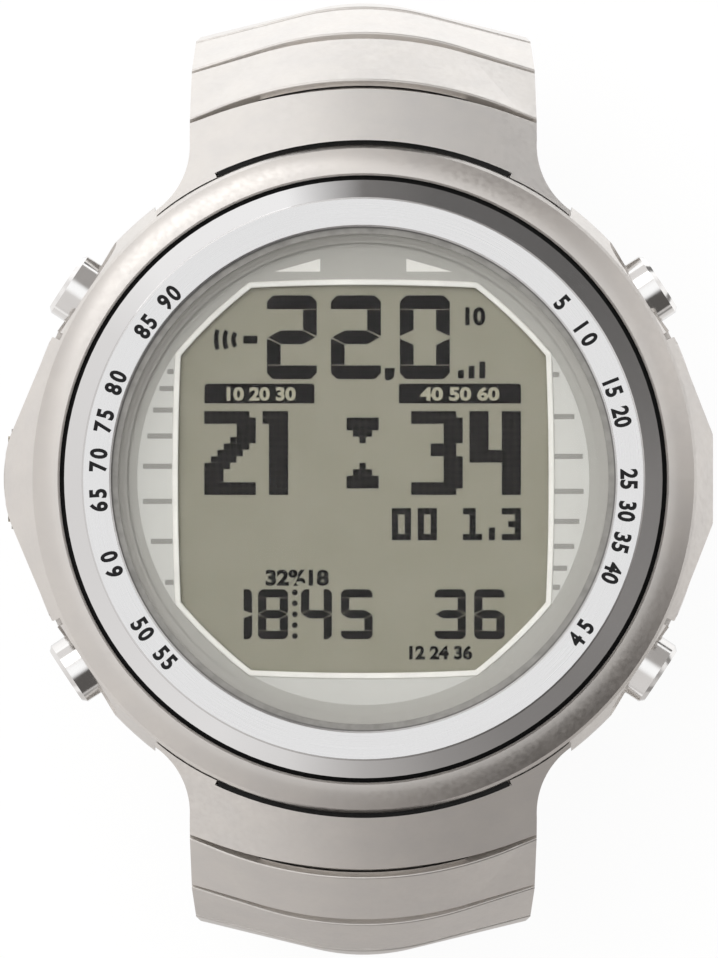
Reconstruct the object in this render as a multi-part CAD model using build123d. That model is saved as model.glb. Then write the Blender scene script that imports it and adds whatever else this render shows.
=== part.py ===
from build123d import *
import os
from math import cos, radians, sin, sqrt, tan

# Wrist dive computer with a hinged metal bracelet and a folding clasp, in millimetres.
# The origin is the centre of the case back's outer face. +Z points out through the display,
# +Y to 12 o'clock and +X to 3 o'clock. The bracelet is closed below the case.
# Radii follow from the bezel's, and heights of the head from the crease's.

# ---------------------------------------------------------------- clearances
FIT = 0.05          # radial clearance of a shaft that turns or slides
PRESS = 0.01        # radial clearance of a pin or tube that is pressed in
EASE = 0.12         # clearance between the curved faces of moving neighbours
SEAM = 0.07         # hairline between the case flank and an end link
LASH = 0.1          # end play and loose clearance of small parts
SEAL_PLAY = 0.03    # clearance of a rubber ring in its groove
BEYOND = 5.0        # how far a cutting shape runs past what it cuts
CLEAR = 30.0        # reach of a cutting shape that takes all on one side

# ---------------------------------------------------------------- bezel and crystal
BEZEL_R = 20.87
BEZEL_CHAMFER = (1.27, 1.7)         # polished chamfer, across and down
BEZEL_FLAT = 2.0                    # brushed flat inside the chamfer
BEZEL_FACE_R = BEZEL_R - BEZEL_CHAMFER[0]
BEZEL_INNER_R = BEZEL_FACE_R - BEZEL_FLAT
BEZEL_LIP = 0.12                    # bevel of the bezel's inner edge
BEZEL_EDGE = 0.07                   # broken edge between the flat and the chamfer
CRYSTAL_GAP = 0.5                   # room for the gasket round the crystal
CRYSTAL_R = BEZEL_INNER_R - CRYSTAL_GAP
CRYSTAL_BEVEL = 0.3
CRYSTAL_GASKET_SHORT = 0.2          # gasket's top below the crystal's
CRYSTAL_LEDGE = 0.4                 # width of the ledge that the crystal lies on
CRYSTAL_LEDGE_R = CRYSTAL_R - CRYSTAL_LEDGE
LEDGE_THICK = 0.6

# ---------------------------------------------------------------- case, radii
BEZEL_GAP = 0.33                    # gap round the bezel, with its gasket at the bottom
RING_INNER_R = BEZEL_R + BEZEL_GAP
RING_WIDTH = 2.1                    # top ring, from its inner edge to the crease
RING_BULGE = 0.12                   # how far the ring's face bulges from a straight slope
RING_BEVEL = 0.15
CREASE_R = RING_INNER_R + RING_WIDTH
CREASE_STEP = (0.2, 0.35)           # small step of the ring above the crease, inwards and up
FLANK_SWELL = 0.6                   # how far the flank swells past the crease
FLANK_R = CREASE_R + FLANK_SWELL
FLANK_BELLY = (0.38, 4.2)           # a point of the lower flank: inside FLANK_R, and its height
FOOT_IN = 1.9                       # foot of the flank inside FLANK_R
CASE_FOOT_R = FLANK_R - FOOT_IN
BACK_RIM = 1.5                      # foot of the case outside the case back
BACK_R = CASE_FOOT_R - BACK_RIM
BACK_BEVEL = 0.25
CAVITY_IN = 0.1                     # bore of the case inside the bezel's
CAVITY_R = BEZEL_INNER_R - CAVITY_IN
BACK_BOSS_GAP = 0.2
BACK_BOSS_R = CAVITY_R - BACK_BOSS_GAP

# ---------------------------------------------------------------- heights of the head
CASE_FOOT_Z = 0.6                   # underside of the case round the case back
BACK_SEAT_Z = 1.6                   # seat of the case back's flange
BACK_BOSS = 1.7                     # height of its boss above the flange
BACK_BOSS_Z = BACK_SEAT_Z + BACK_BOSS
CREASE_Z = 12.75
CREASE_TO_FLANK = 3.55              # crease down to the widest line of the flank
FLANK_Z = CREASE_Z - CREASE_TO_FLANK
RING_RISE = 1.05                    # ring's crest above the crease
RING_TOP_Z = CREASE_Z + RING_RISE
BEZEL_DEPTH = 1.8                   # bezel's seat below the ring's crest
BEZEL_SEAT_Z = RING_TOP_Z - BEZEL_DEPTH
BEZEL_GASKET_SHORT = 1.0            # gasket's top below the ring's crest
BEZEL_GASKET_TOP_Z = RING_TOP_Z - BEZEL_GASKET_SHORT
BEZEL_PROUD = 2.4                   # bezel's face above the ring's crest
BEZEL_TOP_Z = RING_TOP_Z + BEZEL_PROUD
BEZEL_CHAMFER_Z = BEZEL_TOP_Z - BEZEL_CHAMFER[1]
CRYSTAL_SUNK = 0.3                  # crystal's face below the bezel's
CRYSTAL_THICK = 2.0
CRYSTAL_TOP_Z = BEZEL_TOP_Z - CRYSTAL_SUNK
CRYSTAL_Z = CRYSTAL_TOP_Z - CRYSTAL_THICK
MASK_TOP_Z = CRYSTAL_Z - LEDGE_THICK - LASH

# ---------------------------------------------------------------- side bulges at 3 and 9 o'clock
BULGE_HALF_Y = 9.9
BULGE_FLAT_HALF_Y = 3.1
BULGE_RIGHT = 0.55                  # faces of the bulges past FLANK_R
BULGE_LEFT = 0.75
BULGE_APEX = 1.29
BULGE_LOW_Z = 2.0
BULGE_CONE = 1.7                    # widest band of the cones past FLANK_R
BULGE_CONE_R = FLANK_R + BULGE_CONE
BULGE_ROOT = 0.7                    # wall kept between a bulge's root and the bezel's bore
BULGE_ROOT_IN = 1.5                 # root of a bulge outside the cavity
BULGE_FOOT = 1.1                    # foot of a bulge inside FLANK_R
BULGE_BAND = (3.0, 0.9)             # its widest band, from and to these depths below FLANK_Z
NOTCH_ANGLE = 25.2
NOTCH_WIDTH = 0.5
NOTCH_DEPTH = 0.7
NOTCH_HEIGHT = 4.0

# ---------------------------------------------------------------- display and module
MASK_EDGE = 0.3                     # mask's edge to the bezel's bore
MASK_R = BEZEL_INNER_R - MASK_EDGE
MASK_THICK = 0.6
WINDOW_BORDER_X = 4.55              # mask beside the window's sides, and at its top and bottom
WINDOW_BORDER_Y = 3.95
WINDOW_CORNER_X = 1.92              # mask outside the corners at its sides, and at its top
WINDOW_CORNER_Y = 1.84
WINDOW_BOW = 0.2                    # how far each side bows out
WINDOW_SLANT_BOW = 0.12             # the slanting sides bow out by this along X and Y
WINDOW_SLANT_GROW = 0.4             # share of a margin that the ends of the sides move by
WINDOW_HALF_X = MASK_R - WINDOW_BORDER_X
WINDOW_HALF_Y = MASK_R - WINDOW_BORDER_Y
WINDOW_SIDE_HALF = sqrt((MASK_R - WINDOW_CORNER_X) ** 2 - WINDOW_HALF_X ** 2)
WINDOW_TOP_HALF = sqrt((MASK_R - WINDOW_CORNER_Y) ** 2 - WINDOW_HALF_Y ** 2)
LCD_RIM = 0.8                       # glass hidden under the mask all round
LCD_THICK = 1.8
LIGHT_THICK = 0.8
FRAME_GAP = 0.4                     # module frame inside the mask's edge
FRAME_R = MASK_R - FRAME_GAP
FRAME_WALL = 0.6
FRAME_FOOT = 0.6                    # frame's lower edge above the case back's boss
BOARD_THICK = 1.0
BOARD_GAP = 0.4                     # light guide to board, filled by the frame's shelf
BOARD_EDGE = 0.7                    # board's edge to the frame's wall
BOARD_R = FRAME_R - FRAME_WALL - BOARD_EDGE
SHELF_LAP = 0.7                     # shelf under the board's edge
SHELF_INNER_R = BOARD_R - SHELF_LAP

LCD_TOP_Z = MASK_TOP_Z - MASK_THICK
LIGHT_TOP_Z = LCD_TOP_Z - LCD_THICK
LIGHT_LOW_Z = LIGHT_TOP_Z - LIGHT_THICK
BOARD_TOP_Z = LIGHT_LOW_Z - BOARD_GAP
BOARD_LOW_Z = BOARD_TOP_Z - BOARD_THICK

# ---------------------------------------------------------------- case back
SCREW_HEAD_R = 1.2
SCREW_R = 0.7
SCREW_HEAD_DEPTH = 0.6
SCREW_RECESS = 0.1                  # screw heads below the case back's outer face
SCREW_TIP_ROOM = 0.3
SCREW_LENGTH = 4.4
SCREW_SLOT = 0.35
SCREW_EDGE = 0.25                   # screw head to the case back's edge
SCREW_PITCH_R = BACK_R - SCREW_HEAD_R - SCREW_EDGE
SCREW_ANGLE = 45
BACK_SCREWS = 4
SEAL_RING_WIRE = 0.4
SEAL_RING_R = CAVITY_R - SEAL_PLAY - SEAL_RING_WIRE
SEAL_GROOVE_R = SEAL_RING_R - SEAL_RING_WIRE - SEAL_PLAY
SEAL_GROOVE_HALF = 0.45
SEAL_RING_Z = BACK_SEAT_Z + BACK_BOSS / 2

# ---------------------------------------------------------------- pushers
PUSHER_ANGLES = {"pusher_upper_right": 33.5, "pusher_upper_left": 146.5,
                 "pusher_lower_left": 213.5, "pusher_lower_right": 326.5}
PUSHER_LOW = 0.7                    # pusher's axis below the widest line of the flank
PUSHER_Z = FLANK_Z - PUSHER_LOW
PUSHER_TRAVEL = 1.0
CAP_R = 2.35
CAP_LENGTH = 2.75
CAP_BEVEL = 0.3
CAP_BORE_R = CAP_R + EASE
CAP_PROUD = 1.65                    # cap's face above its land
LAND_U = CREASE_R                   # flat land round the cap, from the case's axis
LAND_R = 4.3
CAP_FACE_U = LAND_U + CAP_PROUD
CAP_BORE_DEPTH = 3.1
SPRING_FLOOR_U = LAND_U - CAP_BORE_DEPTH
STEM_R = 0.75
STEM_END = 0.1                      # stem's end inside the module frame
STEM_END_U = FRAME_R - STEM_END
STEM_SEAL_WIRE = 0.2
STEM_SEAL_R = STEM_R + SEAL_PLAY + STEM_SEAL_WIRE
TUBE_WALL = 0.4
TUBE_POCKET = 0.9
TUBE_POCKET_R = STEM_SEAL_R + STEM_SEAL_WIRE + SEAL_PLAY
TUBE_R = TUBE_POCKET_R + TUBE_WALL
TUBE_INNER_U = CAVITY_R + LASH
TUBE_RISE = 0.9                     # tube's outer end above the spring's floor
TUBE_OUTER_U = SPRING_FLOOR_U + TUBE_RISE
SPRING_WIRE = 0.15
SPRING_GAP = 0.21                   # tube to spring
SPRING_R = TUBE_R + SPRING_GAP + SPRING_WIRE
SPRING_TURNS = 3
CLIP_FROM_END = 0.25                # clip's groove to the stem's end
CLIP_U = STEM_END_U + CLIP_FROM_END
CLIP_THICK = 0.3
CLIP_WIDTH = 0.8
CLIP_GROOVE = 0.25                  # depth of the groove in the stem
CLIP_GROOVE_R = STEM_R - CLIP_GROOVE
CLIP_R = CLIP_GROOVE_R + CLIP_WIDTH

# side switches, battery and buzzer
SWITCH_GAP = 1.1                    # stem's end to its switch, a little more than the travel
SWITCH_LENGTH = 1.8
SWITCH_U = (STEM_END_U - SWITCH_GAP - SWITCH_LENGTH, STEM_END_U - SWITCH_GAP)
SWITCH_WIDTH = 3.0
SWITCH_HEIGHT = 1.5
BATTERY_ROOM = 1.65                 # battery to the side switches
BATTERY_R = SWITCH_U[0] - BATTERY_ROOM
BATTERY_STEP = (1.1, 0.5)           # step at the foot of the can, inwards and up
CONTACT_THICK = 0.2
CONTACT_IN = 2.25                   # contact's edge inside the battery's
CONTACT_R = BATTERY_R - CONTACT_IN
CONTACT_WIDTH = 3.0
CONTACT_HOLE_R = CONTACT_R - CONTACT_WIDTH
BATTERY_LOW_Z = BACK_BOSS_Z + CONTACT_THICK
BATTERY_TOP_Z = BOARD_LOW_Z - LASH
BUZZER_R = 6.0
BUZZER_THICK = 0.4
BUZZER_POCKET = 0.5

# ---------------------------------------------------------------- sensor and contacts
SIDE_LOW = 0.5                      # sensor and contacts below the pushers
SIDE_Z = PUSHER_Z - SIDE_LOW
SENSOR_R = 2.5
SENSOR_IN = 0.5                     # sensor's inner end outside the cavity
SENSOR_OUT = 1.7                    # and its outer end inside FLANK_R
SENSOR_X = (CAVITY_R + SENSOR_IN, FLANK_R - SENSOR_OUT)
COVER_SUNK = 0.25                   # sensor cover's face below the right bulge's
COVER_X = FLANK_R + BULGE_RIGHT - COVER_SUNK
COVER_THICK = 1.0
COVER_SIZE = (6.0, 4.4)
COVER_WALL = 0.6
COVER_HOLE_R = 0.35
COVER_HOLES_Y = (-0.7, 0.7)
BLOCK_SUNK = 0.05                   # contact block's face below the left bulge's
BLOCK_X = (CAVITY_R + LASH, FLANK_R + BULGE_LEFT - BLOCK_SUNK)
BLOCK_SIZE = (7.0, 2.6)
CONTACT_PIN_R = 0.4
CONTACT_PIN_PROUD = 0.25
CONTACT_PIN_BACK = 0.3              # inner end of a pin inside the block
CONTACT_PITCH = 1.73
CONTACT_COUNT = 4

# ---------------------------------------------------------------- bracelet
LINK_HALF = 12.15                   # half the bracelet's width beside the case
TAPER = (0.0, 0.1, 0.35, 0.65, 0.85, 1.0, 1.05)    # narrowing of each side at each pivot
HALVES = [LINK_HALF - narrowing for narrowing in TAPER]
LINK_PITCH = 6.9
LINK_OUTER = 2.9                    # pivot to the crown of the outer face
LINK_PIN_R = 0.6
EYE_WALL = 0.65
EYE_R = LINK_PIN_R + EYE_WALL
LINK_UNDER = EYE_R + FIT            # pivot to the wrist side
LINK_EDGE = 0.45                    # bevel of the wrist side's long edges
LINK_ROUND = 0.12                   # rounded shoulder beside a groove
LINK_COUNT = 6
END_ANGLE = 50.0                    # slope of the end link's outer face below horizontal
LINK_ANGLES = (62.0, 74.0, 87.0, 103.0, 120.0, 138.0)
STOP_ANGLE = 3.0                    # each hinge stops this many degrees short of straight
CROWNS = (3.1, 2.75, 2.5, 2.4, 2.4, 2.4, 2.4)      # crown height at each pivot
SIDES = (1.15, 4.65, 7.15, 8.15, 8.55, 8.55, 8.55)  # width of the flat beside the rounded ridge
RIDGES = [half - side for half, side in zip(HALVES, SIDES)]
FIRST_GROOVE = 4.4                  # crest of the first groove from the crease
GROOVE_R = CREASE_R + FIRST_GROOVE
END_CREST = 0.15                    # end link's outer face above the crease at the case
GROOVE_ROOM = 0.1
LAST_GROOVE = 0.7
BAND_STEP = 0.6                     # depth of the band at the bottom of a groove
BARREL_HALF = 7.2
TONGUE_HALF = 2.55
TONGUE_ROOT = 0.5                   # tongue's root inside the link, past the pivot's LINK_OUTER
ARM_TOP = 0.1
END_TIP = 2.35                      # tips of the end link beside the bracelet
END_TIP_X = LINK_HALF + END_TIP
END_SPARE = 1.1                     # blank of an end link beside its tips
END_HALF = END_TIP_X + END_SPARE
END_LOW = -3.5                      # wrist side of an end link's blank
END_TIP_IN = 0.2                    # tips of the end link inside FLANK_R
END_STRAIGHT = 1.6                  # its sides are straight up to this far before the first pivot
END_FLARE = (0.55, 0.35)            # middle of its flared side: out from LINK_HALF, back from halfway
END_LENGTH = 11.0
SLOT_ANGLE = 25.9                   # half-angle of the slot beside the case
SLOT_WIDTH = 0.3
NOTCH_UNDER = 2.35                  # case's notch under an end link, below the crease
LEDGE_Z = CREASE_Z - NOTCH_UNDER
SLOT_FLOOR_RISE = 0.2
SLOT_FLOOR_Z = LEDGE_Z + SLOT_FLOOR_RISE
NOTCH_IN = 0.3                      # notch's back wall inside the crease
NOTCH_R = CREASE_R - NOTCH_IN

# lug pins
LUG_PIN_Y = NOTCH_R
LUG_DROP = 9.85                     # crease down to the lug pins
LUG_PIN_Z = CREASE_Z - LUG_DROP
LUG_PIN_R = 0.6
LUG_WALL = 0.6
LUG_R = LUG_PIN_R + LUG_WALL        # case lug, and the cheeks of the end link
LUG_HALF = 4.5                      # case lug between the end link's cheeks
CHEEK_HALF = 8.4
CHEEK_HEEL = 1.3                    # the cheek is full up to this far above the pin
CHEEK_NECK = 0.9                    # back of the cheek's neck, from the pin
CHEEK_NECK_RISE = (2.1, 3.7)        # the neck's ends above the pin
CHEEK_SHOULDER = 4.5
CHEEK_ROOM = 0.25                   # cheek to the case's pocket
LUG_POCKET = (1.5, 2.6)             # pocket for the cheeks, in from the pin and up from it
LUG_POCKET_Y = LUG_PIN_Y - LUG_POCKET[0]
LUG_POCKET_Z = LUG_PIN_Z + LUG_POCKET[1]

# ---------------------------------------------------------------- clasp
PLATE_THICK = 0.8                   # clasp plate and arm
PLATE_HALF = 7.0
FOLD_GAP = 0.5                      # plate to arm when folded
HINGE_BACK = 5.0                    # fold hinge to the upper bracelet's pin
FOLD_PIN_R = 0.45
KNUCKLE_WALL = 0.35
KNUCKLE_R = FOLD_PIN_R + KNUCKLE_WALL
KNUCKLE_HALF = 3.0
COVER_DROP = PLATE_THICK + FOLD_GAP         # cover hinge below the end pivots
FOLD_DROP = COVER_DROP / 2                  # and the fold hinge, midway
COVER_HINGE_ROOM = 3.4              # cover hinge past the outer face of the last lower link
COVER_HINGE_BACK = LINK_OUTER + COVER_HINGE_ROOM
PLATE_ROOM = 0.4                    # clasp plate past the outer face of the last lower link
CLASP_NECK = 3.0                    # neck of the last upper link, from its full width to its pin
WALL_OUTSIDE = 0.35                 # clasp cover's side walls inside the bracelet's width
WALL_THICK = 1.4
WALL_OUT = LINK_HALF - WALL_OUTSIDE
WALL_IN = WALL_OUT - WALL_THICK
COVER_ROOM = 0.2                    # cover plate to its hinge's knuckle
COVER_PLATE_TOP = COVER_DROP + KNUCKLE_R + COVER_ROOM
COVER_PLATE = 1.2
COVER_SETBACK = 0.3                 # plate starts this far inside its own hinge
WALL_TOP = 0.6
COVER_END_ROOM = 1.2                # cover plate to the outer face of the last upper link
COVER_END_BACK = LINK_OUTER + COVER_END_ROOM
COVER_HEEL = 1.2                    # side walls reach this far past the cover's hinge
COVER_BEVEL = 0.6
COVER_TOE = 0.8                     # slope of the side walls at the plate's far end
COVER_LIP = 0.15                    # side walls past the upper pin's near side
PIN_SHORT = 0.1                     # upper pin's ends inside the walls' outer faces
SEAT_GAP = 0.2
BUTTON_Y = 2.0
BUTTON_RAISE = 0.6                  # buttons above the cover's hinge
BUTTON_R = 1.5
BUTTON_BEVEL = 0.25
BUTTON_FLANGE_WIDTH = 0.4
BUTTON_FLANGE_R = BUTTON_R + BUTTON_FLANGE_WIDTH
BUTTON_TRAVEL = 0.8
BUTTON_REST = 0.2                   # a pressed button still stands this far out
BUTTON_PROUD = BUTTON_TRAVEL + BUTTON_REST
BUTTON_FLANGE = 0.6

X_AXIS_TURN = (0, 90, 0)


# ---------------------------------------------------------------- helpers
def turned(points):
    """A ring about Z from its outline as radius and height pairs."""
    outline = Polyline(*[(r, 0, z) for r, z in points], close=True)
    return revolve(make_face(outline), Axis.Z, 360)


def disc(radius, low, high):
    return Pos(0, 0, low) * Cylinder(radius, high - low, align=(Align.CENTER, Align.CENTER, Align.MIN))


def block(x, y, z):
    """A box from its span along each axis."""
    size = (x[1] - x[0], y[1] - y[0], z[1] - z[0])
    return Pos(x[0], y[0], z[0]) * Box(*size, align=(Align.MIN, Align.MIN, Align.MIN))


def across(radius, half, y=0.0, z=0.0):
    """A cylinder along X, centred on the middle plane."""
    return Location((0, y, z), X_AXIS_TURN) * Cylinder(radius, 2 * half)


def along_x(radius, span, y, z):
    middle = (span[0] + span[1]) / 2
    return Location((middle, y, z), X_AXIS_TURN) * Cylinder(radius, span[1] - span[0])


def side_prism(points, half):
    """A prism along X from its side view, as Y and Z pairs."""
    outline = Polyline(*[(-half, y, z) for y, z in points], close=True)
    return extrude(make_face(outline), 2 * half, dir=(1, 0, 0))


def plan_prism(outline, low, high):
    return Pos(0, 0, low) * extrude(make_face(outline), high - low, dir=(0, 0, 1))


def half_turn(shape):
    return Rot(0, 0, 180) * shape


def save(name, *solids):
    pieces = []
    for item in solids:
        pieces.extend(item.solids())
    shape = pieces[0] if len(pieces) == 1 else Compound(children=pieces)
    export_step(shape, f"parts/{name}.step")


# ---------------------------------------------------------------- bracelet geometry
def slope_vectors(slope):
    angle = radians(slope)
    return (cos(angle), -sin(angle)), (sin(angle), cos(angle))


def pivot_points():
    """Pivots of the upper half of the bracelet as Y and Z pairs, the first beside the case."""
    crest_z = CREASE_Z + END_CREST - (FIRST_GROOVE - SLOT_WIDTH) * tan(radians(END_ANGLE))
    normal = slope_vectors((END_ANGLE + LINK_ANGLES[0]) / 2)[1]
    points = [(GROOVE_R - LINK_OUTER * normal[0], crest_z - LINK_OUTER * normal[1])]
    for slope in LINK_ANGLES:
        run = slope_vectors(slope)[0]
        y, z = points[-1]
        points.append((y + LINK_PITCH * run[0], z + LINK_PITCH * run[1]))
    return points


PIVOTS = pivot_points()
SLOPES = (END_ANGLE,) + LINK_ANGLES
OPENINGS = [after - before - STOP_ANGLE for before, after in zip(SLOPES, SLOPES[1:])]
END_Y, END_Z = PIVOTS[-1]
GROOVES = [radians(opening) * LINK_OUTER + GROOVE_ROOM for opening in OPENINGS] + [LAST_GROOVE]


def crown_drop(x, station):
    """How far the outer face lies below its crest at a distance x from the middle."""
    ridge = RIDGES[station]
    fall = CROWNS[station] / (HALVES[station] - ridge / 2)
    return fall * x * x / (2 * ridge) if x < ridge else fall * (x - ridge / 2)


def link_section(run, station, half, low=-LINK_UNDER):
    """Cross-section of a link at a distance along it, in the link's own frame."""
    ridge = RIDGES[station]
    edge = LINK_OUTER - crown_drop(half, station)
    shoulder = LINK_OUTER - crown_drop(ridge, station)
    sides = Polyline((-ridge, run, shoulder), (-half, run, edge), (-half, run, low + LINK_EDGE),
                     (-half + LINK_EDGE, run, low), (half - LINK_EDGE, run, low),
                     (half, run, low + LINK_EDGE), (half, run, edge), (ridge, run, shoulder))
    roof = ThreePointArc((ridge, run, shoulder), (0, run, LINK_OUTER), (-ridge, run, shoulder))
    return make_face(sides + roof)


def barrel(station, grow=0.0):
    """Band at the bottom of a groove: a barrel about the pivot that follows the crown."""
    ridge = min(RIDGES[station], BARREL_HALF - LASH)
    crest = LINK_OUTER - BAND_STEP + grow
    half = BARREL_HALF + grow
    side_r = crest - crown_drop(half, station)
    ridge_r = crest - crown_drop(ridge, station)
    lower = Polyline((ridge, 0, ridge_r), (half, 0, side_r), (half, 0, 0), (-half, 0, 0),
                     (-half, 0, side_r), (-ridge, 0, ridge_r))
    roof = ThreePointArc((-ridge, 0, ridge_r), (0, 0, crest), (ridge, 0, ridge_r))
    return revolve(make_face(lower + roof), Axis.X, 360)


def rounded_ends(body, low, high):
    """Round the outer edges of a link's two end faces."""
    edges = [e for e in body.edges()
             if e.center().Z > 0 and abs(e.bounding_box().size.Y) < 1e-6
             and min(abs(e.center().Y - low), abs(e.center().Y - high)) < 1e-6
             and e.bounding_box().size.X > LASH]
    return fillet(edges, LINK_ROUND)


def tongue(reach):
    """Eye and arm that hang a link on the pin before it."""
    arm = block((-TONGUE_HALF, TONGUE_HALF), (0, reach), (-LINK_UNDER, ARM_TOP))
    return across(EYE_R, TONGUE_HALF) + arm


def barrel_end(station):
    """Barrel with the slot that takes the next link's tongue, about the pivot."""
    slot_half = TONGUE_HALF + EASE
    low = block((-LINK_HALF, LINK_HALF), (-BEYOND, BEYOND), (-BEYOND, -LINK_UNDER))
    slot = across(EYE_R + EASE, slot_half)
    slot += block((-slot_half, slot_half), (0, BEYOND), (-BEYOND, ARM_TOP + EASE))
    return barrel(station) - low, slot


def hinge_end(body, station, run):
    """Give a link its barrel, slot and pin hole at the far pivot."""
    round_part, slot = barrel_end(station)
    body = body + Pos(0, run, 0) * round_part
    body = body - Pos(0, run, 0) * slot
    return body - across(LINK_PIN_R + PRESS, BARREL_HALF + LASH, run)


def link_start(index):
    """Link up to its far end face, with the socket and tongue at the near pivot."""
    low = GROOVES[index] / 2
    high = LINK_PITCH - GROOVES[index + 1] / 2
    ends = ((low, index), (high, index + 1))
    sections = [link_section(run, station, HALVES[station]) for run, station in ends]
    body = rounded_ends(loft(sections, ruled=True), low, high)
    body = body - barrel(index, EASE)
    body = body + tongue(LINK_OUTER + TONGUE_ROOT)
    return body - across(LINK_PIN_R + FIT, TONGUE_HALF + LASH)


def hinged_link(index):
    return hinge_end(link_start(index), index + 1, LINK_PITCH)


def link_pin(run):
    return across(LINK_PIN_R, BARREL_HALF, run)


def last_upper_link():
    """Last link of the upper half, with a neck for the clasp cover's ears."""
    body = link_start(LINK_COUNT - 1)
    neck_run = LINK_PITCH - CLASP_NECK
    body = body - block((-CLEAR, CLEAR), (neck_run, LINK_PITCH + BEYOND), (-BEYOND, BEYOND))
    neck_half = WALL_IN - 2 * EASE
    neck = block((-neck_half, neck_half), (neck_run - LASH, LINK_PITCH), (-EYE_R, EYE_R))
    body = body + neck + across(EYE_R, neck_half, LINK_PITCH)
    return body - across(LINK_PIN_R + PRESS, LINK_HALF, LINK_PITCH)


def placed(index):
    """Place of a link of the upper half; index 0 is the first hinged link."""
    y, z = PIVOTS[index]
    return Location((0, y, z), (-LINK_ANGLES[index], 0, 0))


# ---------------------------------------------------------------- case
def case_envelope(grow=0.0):
    """Space that the case takes from an end link."""
    flank_step = (FLANK_R - CREASE_R) * (CREASE_Z - LEDGE_Z) / (CREASE_Z - FLANK_Z)
    high = RING_TOP_Z + BEYOND
    return turned([(0, -BEYOND), (NOTCH_R + grow, -BEYOND), (NOTCH_R + grow, LEDGE_Z),
                   (CREASE_R + flank_step + grow, LEDGE_Z), (CREASE_R + grow, CREASE_Z),
                   (CREASE_R + grow, high), (0, high)])


def case_blank():
    step_in, step_up = CREASE_STEP
    belly_in, belly_z = FLANK_BELLY
    outer_edge = Vector(CREASE_R - step_in, 0, CREASE_Z + step_up)
    inner_edge = Vector(RING_INNER_R + RING_BEVEL, 0, RING_TOP_Z)
    outwards = (inner_edge - outer_edge).rotate(Axis.Y, 90).normalized()
    crown = ThreePointArc(outer_edge, (outer_edge + inner_edge) / 2 + outwards * RING_BULGE, inner_edge)
    step = Line((CREASE_R, 0, CREASE_Z), outer_edge)
    inner = Polyline(inner_edge, (RING_INNER_R, 0, RING_TOP_Z - RING_BEVEL), (RING_INNER_R, 0, BEZEL_SEAT_Z),
                     (CAVITY_R, 0, BEZEL_SEAT_Z), (CAVITY_R, 0, BACK_SEAT_Z),
                     (BACK_R + LASH, 0, BACK_SEAT_Z), (BACK_R + LASH, 0, CASE_FOOT_Z),
                     (CASE_FOOT_R, 0, CASE_FOOT_Z))
    belly = (FLANK_R - belly_in, 0, belly_z)
    lower = ThreePointArc((CASE_FOOT_R, 0, CASE_FOOT_Z), belly, (FLANK_R, 0, FLANK_Z))
    upper = Line((FLANK_R, 0, FLANK_Z), (CREASE_R, 0, CREASE_Z))
    return revolve(make_face(step + crown + inner + lower + upper), Axis.Z, 360)


def bulge(right):
    """Side bulge: a plan outline cut by two cones, so that it fades into the crease."""
    root_x = CAVITY_R + BULGE_ROOT_IN
    end_x = sqrt(FLANK_R ** 2 - BULGE_HALF_Y ** 2)
    flat_x = FLANK_R + (BULGE_RIGHT if right else BULGE_LEFT)
    sides = Polyline((flat_x, -BULGE_FLAT_HALF_Y), (end_x, -BULGE_HALF_Y), (root_x, -BULGE_HALF_Y),
                     (root_x, BULGE_HALF_Y), (end_x, BULGE_HALF_Y), (flat_x, BULGE_FLAT_HALF_Y))
    if right:
        face = Line((flat_x, BULGE_FLAT_HALF_Y), (flat_x, -BULGE_FLAT_HALF_Y))
    else:
        apex = (FLANK_R + BULGE_APEX, 0)
        face = ThreePointArc((flat_x, BULGE_FLAT_HALF_Y), apex, (flat_x, -BULGE_FLAT_HALF_Y))
    prism = plan_prism(sides + face, BULGE_LOW_Z, CREASE_Z)
    band_low, band_high = (FLANK_Z - depth for depth in BULGE_BAND)
    root_r = RING_INNER_R + BULGE_ROOT
    cones = turned([(root_r, BULGE_LOW_Z), (FLANK_R - BULGE_FOOT, BULGE_LOW_Z), (BULGE_CONE_R, band_low),
                    (BULGE_CONE_R, band_high), (CREASE_R, CREASE_Z), (root_r, CREASE_Z)])
    shape = prism & cones
    return shape if right else half_turn(shape)


def radial(angle, u, z=PUSHER_Z):
    """Place on a pusher's axis, its local Z pointing out of the case."""
    a = radians(angle)
    return Plane(origin=(u * cos(a), u * sin(a), z), x_dir=(-sin(a), cos(a), 0),
                 z_dir=(cos(a), sin(a), 0)).location


def rod(radius, length):
    return Cylinder(radius, length, align=(Align.CENTER, Align.CENTER, Align.MIN))


def lug_notch():
    """Room for an end link at 12 o'clock: the flank cut back, and the pocket for its cheeks."""
    outer = FLANK_R + BEYOND
    rim = turned([(NOTCH_R, 0), (outer, 0), (outer, LEDGE_Z), (NOTCH_R, LEDGE_Z)])
    span = block((-END_TIP_X - SEAM, END_TIP_X + SEAM), (0, outer), (0, LEDGE_Z))
    pocket_half = CHEEK_HALF + 2 * EASE
    pocket = block((-pocket_half, pocket_half), (LUG_POCKET_Y, outer), (0, LUG_POCKET_Z))
    return (rim & span) + pocket


def case_lug():
    """Lug between the cheeks of the end link at 12 o'clock."""
    web = block((-LUG_HALF, LUG_HALF), (LUG_POCKET_Y - LUG_WALL, LUG_PIN_Y),
                (LUG_PIN_Z - LUG_R, LUG_PIN_Z + LUG_R))
    lug = web + across(LUG_R, LUG_HALF, LUG_PIN_Y, LUG_PIN_Z)
    return lug - across(LUG_PIN_R + PRESS, LUG_HALF + LASH, LUG_PIN_Y, LUG_PIN_Z)


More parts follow.
